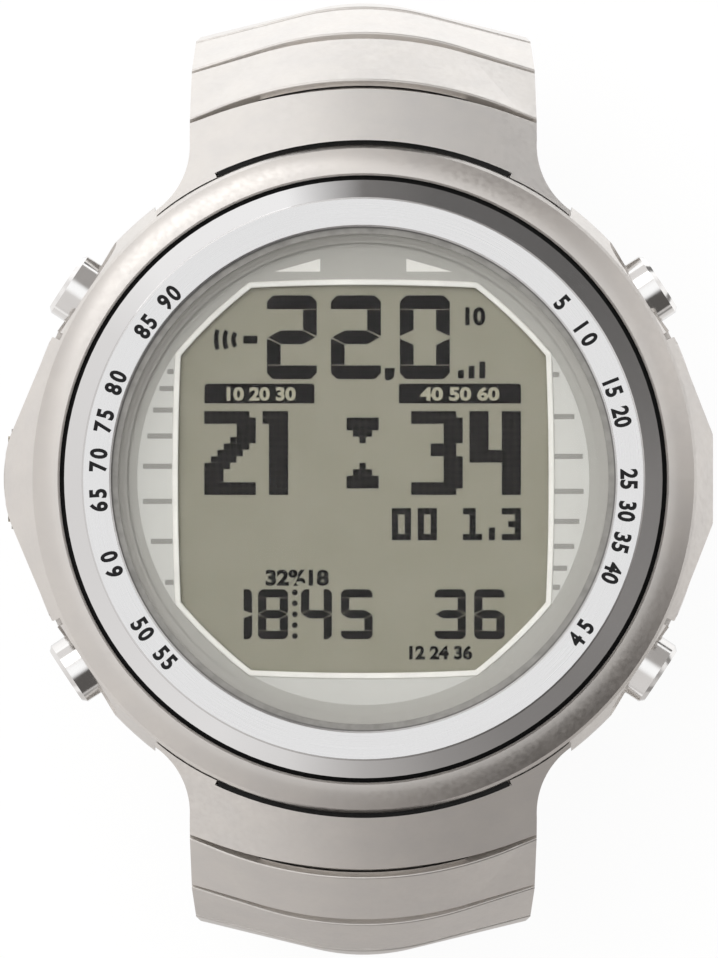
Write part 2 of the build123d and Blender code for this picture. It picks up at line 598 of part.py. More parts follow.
def case_body():
    body = case_blank() + bulge(True) + bulge(False)
    for side in (1, -1):
        for turn in (0, 180):
            notch = block((FLANK_R - NOTCH_DEPTH, FLANK_R + BEYOND), (-NOTCH_WIDTH / 2, NOTCH_WIDTH / 2),
                          (FLANK_Z - NOTCH_HEIGHT, CREASE_Z))
            body = body - Rot(0, 0, side * NOTCH_ANGLE + turn) * notch
    for turn in (0, 180):
        body = body - Rot(0, 0, turn) * lug_notch()
        body = body + Rot(0, 0, turn) * case_lug()
    for angle in PUSHER_ANGLES.values():
        body = body - radial(angle, LAND_U) * rod(LAND_R, BEYOND)
        body = body - radial(angle, SPRING_FLOOR_U) * rod(CAP_BORE_R, BEYOND)
        body = body - radial(angle, STEM_END_U) * rod(TUBE_R + PRESS, BEYOND)
    cover_y, cover_z = COVER_SIZE
    body = body - along_x(SENSOR_R + PRESS, (FRAME_R, SENSOR_X[1] + SENSOR_IN), 0, SIDE_Z)
    body = body - block((SENSOR_X[1], CLEAR), (-cover_y / 2 - PRESS, cover_y / 2 + PRESS),
                        (SIDE_Z - cover_z / 2 - PRESS, SIDE_Z + cover_z / 2 + PRESS))
    block_y, block_z = BLOCK_SIZE
    body = body - block((-CLEAR, -FRAME_R), (-block_y / 2 - PRESS, block_y / 2 + PRESS),
                        (SIDE_Z - block_z / 2 - PRESS, SIDE_Z + block_z / 2 + PRESS))
    for place in screw_places():
        bore = rod(SCREW_R + PRESS, SCREW_LENGTH - BACK_SEAT_Z + SCREW_TIP_ROOM)
        body = body - place * Pos(0, 0, BACK_SEAT_Z) * bore
    return body


def screw_places():
    return [Rot(0, 0, SCREW_ANGLE + 360 / BACK_SCREWS * i) * Pos(SCREW_PITCH_R, 0, 0)
            for i in range(BACK_SCREWS)]


# ---------------------------------------------------------------- bezel, crystal, seals
def bezel_ring():
    ledge_z = CRYSTAL_Z - LEDGE_THICK
    chamfer_run, chamfer_drop = BEZEL_CHAMFER
    edge_r = BEZEL_FACE_R + BEZEL_EDGE * chamfer_run / chamfer_drop
    return turned([(BEZEL_R, BEZEL_SEAT_Z), (BEZEL_R, BEZEL_CHAMFER_Z), (edge_r, BEZEL_TOP_Z - BEZEL_EDGE),
                   (BEZEL_FACE_R - BEZEL_EDGE, BEZEL_TOP_Z),
                   (BEZEL_INNER_R + BEZEL_LIP, BEZEL_TOP_Z), (BEZEL_INNER_R, BEZEL_TOP_Z - BEZEL_LIP),
                   (BEZEL_INNER_R, CRYSTAL_Z), (CRYSTAL_LEDGE_R, CRYSTAL_Z), (CRYSTAL_LEDGE_R, ledge_z),
                   (BEZEL_INNER_R, ledge_z), (BEZEL_INNER_R, BEZEL_SEAT_Z)])


def crystal():
    return turned([(0, CRYSTAL_Z), (CRYSTAL_R, CRYSTAL_Z), (CRYSTAL_R, CRYSTAL_TOP_Z - CRYSTAL_BEVEL),
                   (CRYSTAL_R - CRYSTAL_BEVEL, CRYSTAL_TOP_Z), (0, CRYSTAL_TOP_Z)])


def ring(inner, outer, low, high):
    return disc(outer, low, high) - disc(inner, low - LASH, high + LASH)


def case_back():
    groove_low, groove_high = SEAL_RING_Z - SEAL_GROOVE_HALF, SEAL_RING_Z + SEAL_GROOVE_HALF
    back = turned([(0, 0), (BACK_R - BACK_BEVEL, 0), (BACK_R, BACK_BEVEL), (BACK_R, BACK_SEAT_Z),
                   (BACK_BOSS_R, BACK_SEAT_Z), (BACK_BOSS_R, groove_low), (SEAL_GROOVE_R, groove_low),
                   (SEAL_GROOVE_R, groove_high), (BACK_BOSS_R, groove_high), (BACK_BOSS_R, BACK_BOSS_Z),
                   (BUZZER_R + PRESS, BACK_BOSS_Z), (BUZZER_R + PRESS, BACK_BOSS_Z - BUZZER_POCKET),
                   (0, BACK_BOSS_Z - BUZZER_POCKET)])
    sink = SCREW_RECESS + SCREW_HEAD_DEPTH
    for place in screw_places():
        back = back - place * Pos(0, 0, -BEYOND) * rod(SCREW_R + FIT, 2 * BEYOND)
        back = back - place * Pos(0, 0, -BEYOND) * rod(SCREW_HEAD_R + FIT, BEYOND + sink)
    return back


def screw():
    head = Pos(0, 0, SCREW_RECESS) * rod(SCREW_HEAD_R, SCREW_HEAD_DEPTH)
    slot_half = SCREW_SLOT / 2
    head = head - block((-BEYOND, BEYOND), (-slot_half, slot_half), (0, SCREW_RECESS + SCREW_SLOT))
    return head + Pos(0, 0, SCREW_HEAD_DEPTH) * rod(SCREW_R, SCREW_LENGTH - SCREW_HEAD_DEPTH)


# ---------------------------------------------------------------- display and module
def window_outline(grow=0.0):
    """Eight-sided window with bowed sides, grown outwards by the given amount."""
    x, y = WINDOW_HALF_X + grow, WINDOW_HALF_Y + grow
    top = WINDOW_TOP_HALF + grow * WINDOW_SLANT_GROW
    side = WINDOW_SIDE_HALF + grow * WINDOW_SLANT_GROW
    middle = ((x + top) / 2 + WINDOW_SLANT_BOW, (y + side) / 2 + WINDOW_SLANT_BOW)
    corners = [(x, -side), (x, side), (top, y), (-top, y), (-x, side), (-x, -side), (-top, -y), (top, -y)]
    bows = [(x + WINDOW_BOW, 0), middle, (0, y + WINDOW_BOW), (-middle[0], middle[1]),
            (-x - WINDOW_BOW, 0), (-middle[0], -middle[1]), (0, -y - WINDOW_BOW), (middle[0], -middle[1])]
    arcs = [ThreePointArc(corners[i], bows[i], corners[(i + 1) % 8]) for i in range(8)]
    return Curve() + arcs


def display_mask():
    window = plan_prism(window_outline(), LCD_TOP_Z - LASH, MASK_TOP_Z + LASH)
    return disc(MASK_R, LCD_TOP_Z, MASK_TOP_Z) - window


def module_frame():
    """Plastic ring with a shelf under the light guide, and room for the four stems and their clips."""
    frame = ring(FRAME_R - FRAME_WALL, FRAME_R, BACK_BOSS_Z + FRAME_FOOT, LCD_TOP_Z)
    frame = frame + ring(SHELF_INNER_R, FRAME_R - LASH, BOARD_TOP_Z, LIGHT_LOW_Z)
    frame = frame - plan_prism(window_outline(LCD_RIM + EASE), LIGHT_LOW_Z, LCD_TOP_Z + LASH)
    clip_half = CLIP_R + EASE
    clip_inner = CLIP_U - PUSHER_TRAVEL - EASE
    for angle in PUSHER_ANGLES.values():
        frame = frame - radial(angle, SHELF_INNER_R) * rod(STEM_R + LASH, BEYOND)
        room = radial(angle, clip_inner) * rod(clip_half, BEYOND)
        notch = block((clip_inner, clip_inner + BEYOND), (-clip_half, clip_half), (PUSHER_Z, LIGHT_LOW_Z))
        frame = frame - room - Rot(0, 0, angle) * notch
    return frame


def side_switches():
    half = SWITCH_WIDTH / 2
    body = block(SWITCH_U, (-half, half), (BOARD_LOW_Z - SWITCH_HEIGHT, BOARD_LOW_Z))
    return [Rot(0, 0, angle) * body for angle in PUSHER_ANGLES.values()]


def battery():
    step_in, step_up = BATTERY_STEP
    can = disc(BATTERY_R, BATTERY_LOW_Z + step_up, BATTERY_TOP_Z)
    return can + disc(BATTERY_R - step_in, BATTERY_LOW_Z, BATTERY_TOP_Z)


# ---------------------------------------------------------------- pushers
def pusher(angle):
    cap = rod(CAP_R, CAP_LENGTH)
    cap = chamfer(cap.edges().sort_by(Axis.Z)[-1], CAP_BEVEL)
    root_u = CAP_FACE_U - CAP_LENGTH
    stem = Pos(0, 0, STEM_END_U - root_u) * rod(STEM_R, root_u - STEM_END_U + LASH)
    groove = Pos(0, 0, CLIP_U - root_u) * (rod(CLIP_R, CLIP_THICK) - rod(CLIP_GROOVE_R, CLIP_THICK))
    return radial(angle, root_u) * (cap + stem - groove)


def pusher_clip(angle):
    gap = block((-CLIP_GROOVE_R, CLIP_GROOVE_R), (-CLIP_R - LASH, 0), (-LASH, CLIP_THICK + LASH))
    flat = rod(CLIP_R, CLIP_THICK) - rod(CLIP_GROOVE_R + PRESS, CLIP_THICK) - gap
    return radial(angle, CLIP_U) * flat


def guide_tube(angle):
    length = TUBE_OUTER_U - TUBE_INNER_U
    tube = rod(TUBE_R, length) - rod(STEM_R + FIT, length)
    tube = tube - Pos(0, 0, length - TUBE_POCKET) * rod(TUBE_POCKET_R, TUBE_POCKET + LASH)
    return radial(angle, TUBE_INNER_U) * tube


def stem_seal(angle):
    return radial(angle, TUBE_OUTER_U - TUBE_POCKET / 2) * Torus(STEM_SEAL_R, STEM_SEAL_WIRE)


def pusher_spring(angle):
    low = SPRING_FLOOR_U + SPRING_WIRE + PRESS
    height = CAP_FACE_U - CAP_LENGTH - SPRING_WIRE - PRESS - low
    path = Helix(height / SPRING_TURNS, height, SPRING_R)
    section = Plane(origin=path @ 0, z_dir=path % 0) * Circle(SPRING_WIRE)
    return radial(angle, low) * sweep(section, path)


# ---------------------------------------------------------------- sensor and contacts
def sensor_cover():
    cover_y, cover_z = COVER_SIZE
    cover = block((COVER_X - COVER_THICK, COVER_X), (-cover_y / 2, cover_y / 2),
                  (SIDE_Z - cover_z / 2, SIDE_Z + cover_z / 2))
    legs = block((SENSOR_X[1], COVER_X - COVER_THICK), (-cover_y / 2, cover_y / 2),
                 (SIDE_Z - cover_z / 2, SIDE_Z + cover_z / 2))
    room_y, room_z = cover_y / 2 - COVER_WALL, cover_z / 2 - COVER_WALL
    chamber = block((SENSOR_X[1] - LASH, COVER_X - COVER_THICK), (-room_y, room_y),
                    (SIDE_Z - room_z, SIDE_Z + room_z))
    cover = cover + (legs - chamber)
    for y in COVER_HOLES_Y:
        cover = cover - along_x(COVER_HOLE_R, (SENSOR_X[1], COVER_X + LASH), y, SIDE_Z)
    return cover


def contact_rows():
    middle = (CONTACT_COUNT - 1) / 2
    return [(i - middle) * CONTACT_PITCH for i in range(CONTACT_COUNT)]


def contact_block():
    block_y, block_z = BLOCK_SIZE
    body = block((-BLOCK_X[1], -BLOCK_X[0]), (-block_y / 2, block_y / 2),
                 (SIDE_Z - block_z / 2, SIDE_Z + block_z / 2))
    for y in contact_rows():
        body = body - along_x(CONTACT_PIN_R + PRESS, (-CLEAR, -FRAME_R), y, SIDE_Z)
    return body


def contact_pins():
    span = (-BLOCK_X[1] - CONTACT_PIN_PROUD, -BLOCK_X[0] - CONTACT_PIN_BACK)
    return [along_x(CONTACT_PIN_R, span, y, SIDE_Z) for y in contact_rows()]


# ---------------------------------------------------------------- end links
def end_outline():
    """Plan of the end link at 12 o'clock, with its flared corners."""
    straight_y = PIVOTS[0][0] - END_STRAIGHT
    tip_y = sqrt((FLANK_R - END_TIP_IN) ** 2 - END_TIP_X ** 2)
    bend = (LINK_HALF + END_FLARE[0], (straight_y + tip_y) / 2 - END_FLARE[1])
    right = ThreePointArc((LINK_HALF, straight_y), bend, (END_TIP_X, tip_y))
    left = ThreePointArc((-END_TIP_X, tip_y), (-bend[0], bend[1]), (-LINK_HALF, straight_y))
    far_y = GROOVE_R + BEYOND
    far = Polyline((-LINK_HALF, straight_y), (-LINK_HALF, far_y), (LINK_HALF, far_y),
                   (LINK_HALF, straight_y))
    near = Polyline((END_TIP_X, tip_y), (END_TIP_X, 0), (-END_TIP_X, 0), (-END_TIP_X, tip_y))
    return right + left + far + near


def slot_cut():
    """The dark slot between the case and an end link."""
    outer = CREASE_R + SLOT_WIDTH + SEAM
    shape = turned([(NOTCH_R, SLOT_FLOOR_Z), (FLANK_R + FIT, SLOT_FLOOR_Z), (outer, CREASE_Z),
                    (outer, RING_TOP_Z), (NOTCH_R, RING_TOP_Z)])
    reach = GROOVE_R + BEYOND
    far_x, far_y = reach * sin(radians(SLOT_ANGLE)), reach * cos(radians(SLOT_ANGLE))
    wedge = Polyline((0, 0), (far_x, far_y), (-far_x, far_y), close=True)
    return shape & plan_prism(wedge, 0, RING_TOP_Z)


def end_link():
    """End link at 12 o'clock, hinge and cheeks included."""
    y, z = PIVOTS[0]
    high = -GROOVES[0] / 2
    low = high - END_LENGTH
    sections = [link_section(run, 0, END_HALF, END_LOW) for run in (low, high)]
    body = rounded_ends(loft(sections, ruled=True), high, high)
    body = hinge_end(body, 0, 0)
    body = Location((0, y, z), (-END_ANGLE, 0, 0)) * body
    body = body & plan_prism(end_outline(), -BEYOND, CREASE_Z + END_CREST + FIT)
    front_y, back_y, top_z = LUG_POCKET_Y + CHEEK_ROOM, LUG_PIN_Y + LUG_R, LUG_POCKET_Z - CHEEK_ROOM
    neck_y, inner_y = LUG_PIN_Y + CHEEK_NECK, NOTCH_R - CHEEK_ROOM
    neck_low, neck_high = (LUG_PIN_Z + rise for rise in CHEEK_NECK_RISE)
    cheek_side = [(front_y, LUG_PIN_Z), (back_y, LUG_PIN_Z), (back_y, LUG_PIN_Z + CHEEK_HEEL),
                  (neck_y, neck_low), (neck_y, neck_high), (inner_y, LUG_PIN_Z + CHEEK_SHOULDER),
                  (inner_y, top_z), (front_y, top_z)]
    cheek = side_prism(cheek_side, CHEEK_HALF) + across(LUG_R, CHEEK_HALF, LUG_PIN_Y, LUG_PIN_Z)
    middle_half = LUG_HALF + EASE
    cheek = cheek - block((-middle_half, middle_half), (0, CLEAR), (-BEYOND, CLEAR))
    cheek = cheek - across(LUG_PIN_R + PRESS, CHEEK_HALF + LASH, LUG_PIN_Y, LUG_PIN_Z)
    body = body - case_envelope(SEAM) - slot_cut()
    return body + cheek


# ---------------------------------------------------------------- clasp
FOLD_Y = END_Y - HINGE_BACK
FOLD_Z = END_Z - FOLD_DROP
COVER_Y = -END_Y + COVER_HINGE_BACK
COVER_Z = END_Z - COVER_DROP
BUTTON_Z = COVER_Z + BUTTON_RAISE


def clasp_plate():
    """Inner plate: its eye hangs on the lower bracelet, its knuckle carries the arm."""
    half_thick = PLATE_THICK / 2
    low, high = END_Z - half_thick, END_Z + half_thick
    near_y, far_y = -END_Y + LINK_OUTER + PLATE_ROOM, FOLD_Y - KNUCKLE_R - EASE
    plate = block((-PLATE_HALF, PLATE_HALF), (near_y, far_y), (low, high))
    plate = plate + block((-TONGUE_HALF, TONGUE_HALF), (-END_Y, 0), (low, high))
    plate = plate + across(EYE_R, TONGUE_HALF, -END_Y, END_Z)
    plate = plate + block((-KNUCKLE_HALF, KNUCKLE_HALF), (0, FOLD_Y), (low, FOLD_Z + KNUCKLE_R))
    plate = plate + across(KNUCKLE_R, KNUCKLE_HALF, FOLD_Y, FOLD_Z)
    plate = plate - across(LINK_PIN_R + FIT, TONGUE_HALF + LASH, -END_Y, END_Z)
    return plate - across(FOLD_PIN_R + PRESS, KNUCKLE_HALF + LASH, FOLD_Y, FOLD_Z)


def clasp_arm():
    """Middle plate: outer knuckles on the fold hinge, a knuckle on the cover's pin."""
    top = COVER_Z + PLATE_THICK / 2
    low = COVER_Z - PLATE_THICK / 2
    arm = block((-PLATE_HALF, PLATE_HALF), (COVER_Y, FOLD_Y), (low, top))
    arm = arm + across(KNUCKLE_R, PLATE_HALF, COVER_Y, COVER_Z)
    knuckle = across(KNUCKLE_R, PLATE_HALF, FOLD_Y, FOLD_Z)
    knuckle = knuckle + block((-PLATE_HALF, PLATE_HALF), (FOLD_Y - KNUCKLE_R, FOLD_Y), (low, FOLD_Z))
    arm = arm + knuckle
    gap_half, room = KNUCKLE_HALF + EASE, KNUCKLE_R + EASE
    arm = arm - block((-gap_half, gap_half), (FOLD_Y - room, FOLD_Y + room), (low - LASH, FOLD_Z + room))
    arm = arm - across(FOLD_PIN_R + FIT, PLATE_HALF + LASH, FOLD_Y, FOLD_Z)
    return arm - across(FOLD_PIN_R + FIT, PLATE_HALF + LASH, COVER_Y, COVER_Z)


def clasp_cover():
    """Outer cover: a plate with two side walls, hinged to the arm, open seats at the other end."""
    plate_top = END_Z - COVER_PLATE_TOP
    low = plate_top - COVER_PLATE
    top = END_Z + WALL_TOP
    plate_high = END_Y - COVER_END_BACK
    plate = block((-WALL_OUT, WALL_OUT), (COVER_Y + COVER_SETBACK, plate_high), (low, plate_top))
    plate = chamfer(plate.edges().group_by(Axis.Z)[0].filter_by(Axis.X), COVER_BEVEL)
    pin_side = END_Y - LINK_PIN_R - SEAT_GAP
    heel_y, lip_y = COVER_Y - COVER_HEEL, pin_side + COVER_LIP
    side = [(heel_y, low + COVER_BEVEL), (heel_y + COVER_BEVEL, low), (plate_high, low),
            (plate_high + COVER_TOE, low + COVER_TOE), (lip_y, COVER_Z + LASH), (lip_y, top),
            (heel_y + COVER_TOE, top), (heel_y, COVER_Z)]
    hollow = block((-WALL_IN, WALL_IN), (heel_y - LASH, END_Y + BEYOND), (low - LASH, top + LASH))
    seats = across(LINK_PIN_R + SEAT_GAP, WALL_OUT + LASH, END_Y, END_Z)
    cover = plate + (side_prism(side, WALL_OUT) - hollow) - seats
    cover = cover - across(FOLD_PIN_R + PRESS, WALL_OUT + LASH, COVER_Y, COVER_Z)
    for wall_x in (-WALL_OUT + WALL_THICK / 2, WALL_OUT - WALL_THICK / 2):
        hole = Location((wall_x, BUTTON_Y, BUTTON_Z), X_AXIS_TURN)
        cover = cover - hole * Cylinder(BUTTON_R + FIT, WALL_THICK + LASH)
    return cover


def clasp_button():
    """Release button at +X: a flange inside the wall keeps it in."""
    flange_low = WALL_IN - EASE - BUTTON_FLANGE
    stem = along_x(BUTTON_R, (flange_low, WALL_OUT + BUTTON_PROUD), BUTTON_Y, BUTTON_Z)
    stem = chamfer(stem.edges().sort_by(Axis.X)[-1], BUTTON_BEVEL)
    flange = along_x(BUTTON_FLANGE_R, (flange_low, WALL_IN - EASE), BUTTON_Y, BUTTON_Z)
    low = END_Z - COVER_PLATE_TOP + EASE
    flange = flange - block((0, CLEAR), (BUTTON_Y - BEYOND, BUTTON_Y + BEYOND), (low - BEYOND, low))
    return stem + flange


# ---------------------------------------------------------------- write every piece
def main():
    os.makedirs("parts", exist_ok=True)
    save("case_body", case_body())
    save("bezel_ring", bezel_ring())
    save("bezel_gasket", ring(BEZEL_R + PRESS, RING_INNER_R - PRESS, BEZEL_SEAT_Z, BEZEL_GASKET_TOP_Z))
    save("crystal", crystal())
    gasket_top = CRYSTAL_TOP_Z - CRYSTAL_GASKET_SHORT
    save("crystal_gasket", ring(CRYSTAL_R + PRESS, BEZEL_INNER_R - PRESS, CRYSTAL_Z, gasket_top))
    save("display_mask", display_mask())
    save("lcd_panel", plan_prism(window_outline(LCD_RIM), LIGHT_TOP_Z, LCD_TOP_Z))
    save("light_guide", plan_prism(window_outline(LCD_RIM), LIGHT_LOW_Z, LIGHT_TOP_Z))
    save("module_frame", module_frame())
    save("circuit_board", disc(BOARD_R, BOARD_LOW_Z, BOARD_TOP_Z))
    save("side_switches", *side_switches())
    save("battery", battery())
    save("battery_contact", ring(CONTACT_HOLE_R, CONTACT_R, BACK_BOSS_Z, BATTERY_LOW_Z))
    pocket_z = BACK_BOSS_Z - BUZZER_POCKET
    save("buzzer_disc", disc(BUZZER_R, pocket_z, pocket_z + BUZZER_THICK))
    save("case_back", case_back())
    save("case_back_seal", Pos(0, 0, SEAL_RING_Z) * Torus(SEAL_RING_R, SEAL_RING_WIRE))
    save("case_back_screws", *[place * screw() for place in screw_places()])
    save("pressure_sensor", along_x(SENSOR_R, SENSOR_X, 0, SIDE_Z))
    save("sensor_cover", sensor_cover())
    save("contact_block", contact_block())
    save("contact_pins", *contact_pins())
    save("guide_tubes", *[guide_tube(angle) for angle in PUSHER_ANGLES.values()])
    save("stem_seals", *[stem_seal(angle) for angle in PUSHER_ANGLES.values()])
    for name, angle in PUSHER_ANGLES.items():
        save(name, pusher(angle))
        save(f"{name}_clip", pusher_clip(angle))
        save(f"{name}_spring", pusher_spring(angle))

    upper_end = end_link()
    end_pin = Pos(0, *PIVOTS[0]) * link_pin(0)
    save("upper_end_link", upper_end, end_pin)
    save("lower_end_link", half_turn(upper_end), half_turn(end_pin))
    lug_pin = across(LUG_PIN_R, CHEEK_HALF, LUG_PIN_Y, LUG_PIN_Z)
    save("lug_pins", lug_pin, half_turn(lug_pin))
    for index in range(LINK_COUNT):
        link = placed(index) * hinged_link(index)
        pin = placed(index) * link_pin(LINK_PITCH)
        save(f"lower_link_{index + 1}", half_turn(link), half_turn(pin))
        if index == LINK_COUNT - 1:
            link = placed(index) * last_upper_link()
            pin = placed(index) * across(LINK_PIN_R, WALL_OUT - PIN_SHORT, LINK_PITCH)
        save(f"upper_link_{index + 1}", link, pin)

    save("clasp_plate", clasp_plate(), across(FOLD_PIN_R, PLATE_HALF, FOLD_Y, FOLD_Z))
    save("clasp_arm", clasp_arm())
    save("clasp_cover", clasp_cover(), across(FOLD_PIN_R, WALL_OUT, COVER_Y, COVER_Z))
    save("clasp_button_right", clasp_button())
    save("clasp_button_left", mirror(clasp_button(), Plane.YZ))


main()
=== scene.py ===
from math import cos, pi, radians, sin, tau

import bmesh
import bpy
from bmesh.types import BMFace, BMVert
from bpy.props import FloatProperty, FloatVectorProperty, IntProperty, PointerProperty
from bpy.types import Operator, Panel, PropertyGroup
from mathutils import Matrix, Vector


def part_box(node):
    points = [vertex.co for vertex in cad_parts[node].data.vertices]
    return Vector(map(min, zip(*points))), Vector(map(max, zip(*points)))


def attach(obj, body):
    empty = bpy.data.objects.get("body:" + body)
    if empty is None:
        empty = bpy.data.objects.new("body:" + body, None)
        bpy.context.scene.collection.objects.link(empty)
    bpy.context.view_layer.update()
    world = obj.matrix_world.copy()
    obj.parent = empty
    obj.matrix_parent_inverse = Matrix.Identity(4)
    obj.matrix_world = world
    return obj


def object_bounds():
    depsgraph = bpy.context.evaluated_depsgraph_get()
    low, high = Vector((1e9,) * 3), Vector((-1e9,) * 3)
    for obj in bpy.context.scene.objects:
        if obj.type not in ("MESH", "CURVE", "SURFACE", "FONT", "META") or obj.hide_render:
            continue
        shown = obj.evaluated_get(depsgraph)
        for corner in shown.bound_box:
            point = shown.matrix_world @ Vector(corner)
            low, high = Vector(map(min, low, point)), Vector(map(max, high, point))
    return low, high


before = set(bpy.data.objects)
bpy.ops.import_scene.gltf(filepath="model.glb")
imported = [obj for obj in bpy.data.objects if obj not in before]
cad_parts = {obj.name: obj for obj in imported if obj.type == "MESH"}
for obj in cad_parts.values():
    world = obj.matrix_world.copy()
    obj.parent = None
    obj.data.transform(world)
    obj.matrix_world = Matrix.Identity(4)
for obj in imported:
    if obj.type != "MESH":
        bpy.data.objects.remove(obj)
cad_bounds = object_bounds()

bl_info = {
    "name": "Dive computer dressing",
    "version": (1, 0, 0),
    "blender": (4, 5, 0),
    "location": "3D View > Sidebar > Dive Computer",
    "description": "Finishes, printing and display of a wrist dive computer",
    "category": "Object",
}

MM = 0.001


def mm(*lengths):
    """Lengths in millimetres as metres."""
    return [length * MM for length in lengths]


# ---- where the parts are
BEZEL_FACE_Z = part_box("bezel_ring")[1].z
MASK_FACE_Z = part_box("display_mask")[1].z
GLASS_LOW_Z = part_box("crystal")[0].z
LCD_FACE_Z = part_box("lcd_panel")[1].z
GASKET_RADIUS, _, GASKET_TOP_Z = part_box("crystal_gasket")[1]
FLOOR_Z = cad_bounds[0].z


# ---- what a user may change
def length_property(name, description, default_mm):
    return FloatProperty(name=name, description=description, default=default_mm * MM, min=0.0,
                         unit="LENGTH", subtype="DISTANCE", precision=5)


def colour_property(name, description, default):
    return FloatVectorProperty(name=name, description=description, default=default, size=3,
                               min=0.0, max=1.0, subtype="COLOR")


class DisplaySettings(PropertyGroup):
    window_half_x: length_property("Window half width", "Centre to the window's side corners", 12.75)
    window_half_y: length_property("Window half height", "Centre to the window's top corners", 13.35)
    window_top_half: length_property("Top side half", "Half the window's top and bottom sides", 7.8)
    window_side_half: length_property("Side half", "Half the window's left and right sides", 8.6)
    window_bow: length_property("Window bow", "How far each side bows out", 0.2)
    trim_width: length_property("Trim width", "Width of the light trim round the window", 0.4)
    trim_height: length_property("Trim height", "Height of the trim over the mask", 0.14)
    ink: length_property("Ink thickness", "Thickness of printed areas", 0.02)
    panel_radius: length_property("Panel radius", "Outer radius of the printed panels", 15.78)
    band_inner: length_property("Band inner radius", "Inner radius of the band under the glass", 16.5)
    band_outer: length_property("Band outer radius", "Outer radius of the band under the glass", 17.02)
    # width of the dark lines painted beside the glass gasket as the shadow of its narrow gaps
    gap_shadow_width: length_property("Edge line", "Width of the dark lines beside the glass gasket", 0.07)
    cell: length_property("Matrix cell", "Pitch of the display's dot matrix", 0.4515)
    cell_gap: length_property("Cell gap", "Clear line between two cells", 0.01)


class BezelSettings(PropertyGroup):
    numeral_height: length_property("Numeral height", "Height of the numerals on the bezel", 1.17)
    numeral_radius: length_property("Numeral radius", "Radius of the numerals' middle line", 18.56)
    numeral_ink: length_property("Numeral ink", "Thickness of the filled numerals", 0.015)
    brushing: FloatProperty(name="Brushing", description="Depth of the bezel's brushing", default=0.1,
                            min=0.0, max=1.0, subtype="FACTOR")


class FinishSettings(PropertyGroup):
    titanium: colour_property("Titanium", "Bead-blasted case and bracelet", (0.78, 0.755, 0.73))
    bezel: colour_property("Bezel metal", "Brushed and polished bezel", (0.77, 0.77, 0.775))
    steel: colour_property("Polished metal", "Pushers and buttons", (0.90, 0.895, 0.89))
    lcd: colour_property("Display ground", "Reflective ground of the display", (0.222, 0.21, 0.155))
    segment: colour_property("Segment", "Dark segments of the display", (0.006, 0.005, 0.005))
    mask: colour_property("Mask", "Printed mask round the display", (0.41, 0.40, 0.375))
    panel_light: colour_property("Light panel", "Printed side and bottom panels", (0.60, 0.595, 0.57))
    panel_dark: colour_property("Dark panel", "Printed top panel", (0.41, 0.40, 0.375))
    trim: colour_property("Window trim", "Light trim round the window", (0.80, 0.785, 0.75))
    ink: colour_property("Numeral ink", "Black ink of the bezel's numerals", (0.012, 0.012, 0.013))
    # painted shadow: colour of the lines that stand for the shade in the gaps beside the glass gasket
    gap_shadow_paint: colour_property("Edge ink", "Dark lines beside the glass gasket", (0.16, 0.155, 0.15))
    rubber: colour_property("Rubber", "Gaskets and seals", (0.012, 0.012, 0.012))


class StageSettings(PropertyGroup):
    floor: colour_property("Floor", "Colour of the floor", (0.92, 0.92, 0.92))
    lamp_power: FloatProperty(name="Lamp power", description="Power of the soft lamp at the upper left",
                              default=1.5, min=0.0, subtype="POWER")
    fill_power: FloatProperty(name="Fill power", description="Power of the overhead lamp", default=20.0,
                              min=0.0, subtype="POWER")
    shadow: FloatProperty(name="Shadow", description="How much of the shadow shows on the floor",
                          default=0.09, min=0.0, max=1.0, subtype="FACTOR")
    camera_height: length_property("Camera height", "Height of the camera over the bezel", 1855)
    view_width: length_property("View width", "Width of the view at the bezel", 50.04)
    view_left: length_property("View offset", "How far the view's middle lies to the left", 0.3)
    floor_size: length_property("Floor size", "Side of the square floor", 4000)
    circle_steps: IntProperty(name="Circle steps", description="Steps in a full printed circle", default=160,
                              min=24, max=512)


# ---- building blocks for materials
class Nodes:
    """A node tree under construction."""

    def __init__(self, tree):
        tree.nodes.clear()
        self.tree = tree

    def add(self, kind, **settings):
        node = self.tree.nodes.new(kind)
        for key, value in settings.items():
            setattr(node, key, value)
        return node

    def link(self, source, socket):
        """Feeds a socket from another socket or with a plain value."""
        if isinstance(source, bpy.types.NodeSocket):
            self.tree.links.new(source, socket)
        else:
            socket.default_value = source

    def fill(self, node, **sources):
        """Feeds a node's sockets by name, with an underscore for each space."""
        for key, source in sources.items():
            self.link(source, node.inputs[key.replace("_", " ")])

    def maths(self, operation, first, second=0.0):
        node = self.add("ShaderNodeMath", operation=operation)
        self.link(first, node.inputs[0])
        self.link(second, node.inputs[1])
        return node.outputs[0]

    def across(self, first, second):
        """Distance from an axis, by the two coordinates across it."""
        squares = [self.maths("MULTIPLY", part, part) for part in (first, second)]
        return self.maths("SQRT", self.maths("ADD", *squares))

    def spread(self, source, low, high, from_low=0.3, from_high=0.7, kind="LINEAR"):
        """Maps a stretch of the source to the range from low to high."""
        node = self.add("ShaderNodeMapRange", interpolation_type=kind)
        self.fill(node, Value=source, From_Min=from_low, From_Max=from_high, To_Min=low, To_Max=high)
        return node.outputs["Result"]

    def parts(self, vector):
        node = self.add("ShaderNodeSeparateXYZ")
        self.link(vector, node.inputs[0])
        return node.outputs

    def blend(self, factor, first, second):
        """Blends two colours."""
        node = self.add("ShaderNodeMix", data_type="RGBA")
        self.fill(node, Factor=factor, A=first, B=second)
        return node.outputs["Result"]

    def mix(self, factor, first, second):
        """Mixes two shaders."""
        node = self.add("ShaderNodeMixShader")
        for socket, source in zip(node.inputs, (factor, first, second)):
            self.link(source, socket)
        return node.outputs[0]

    def shine(self, kind, colour, strength):
        """An emission or a background."""
        node = self.add(kind)
        self.fill(node, Color=colour, Strength=strength)
        return node.outputs[0]


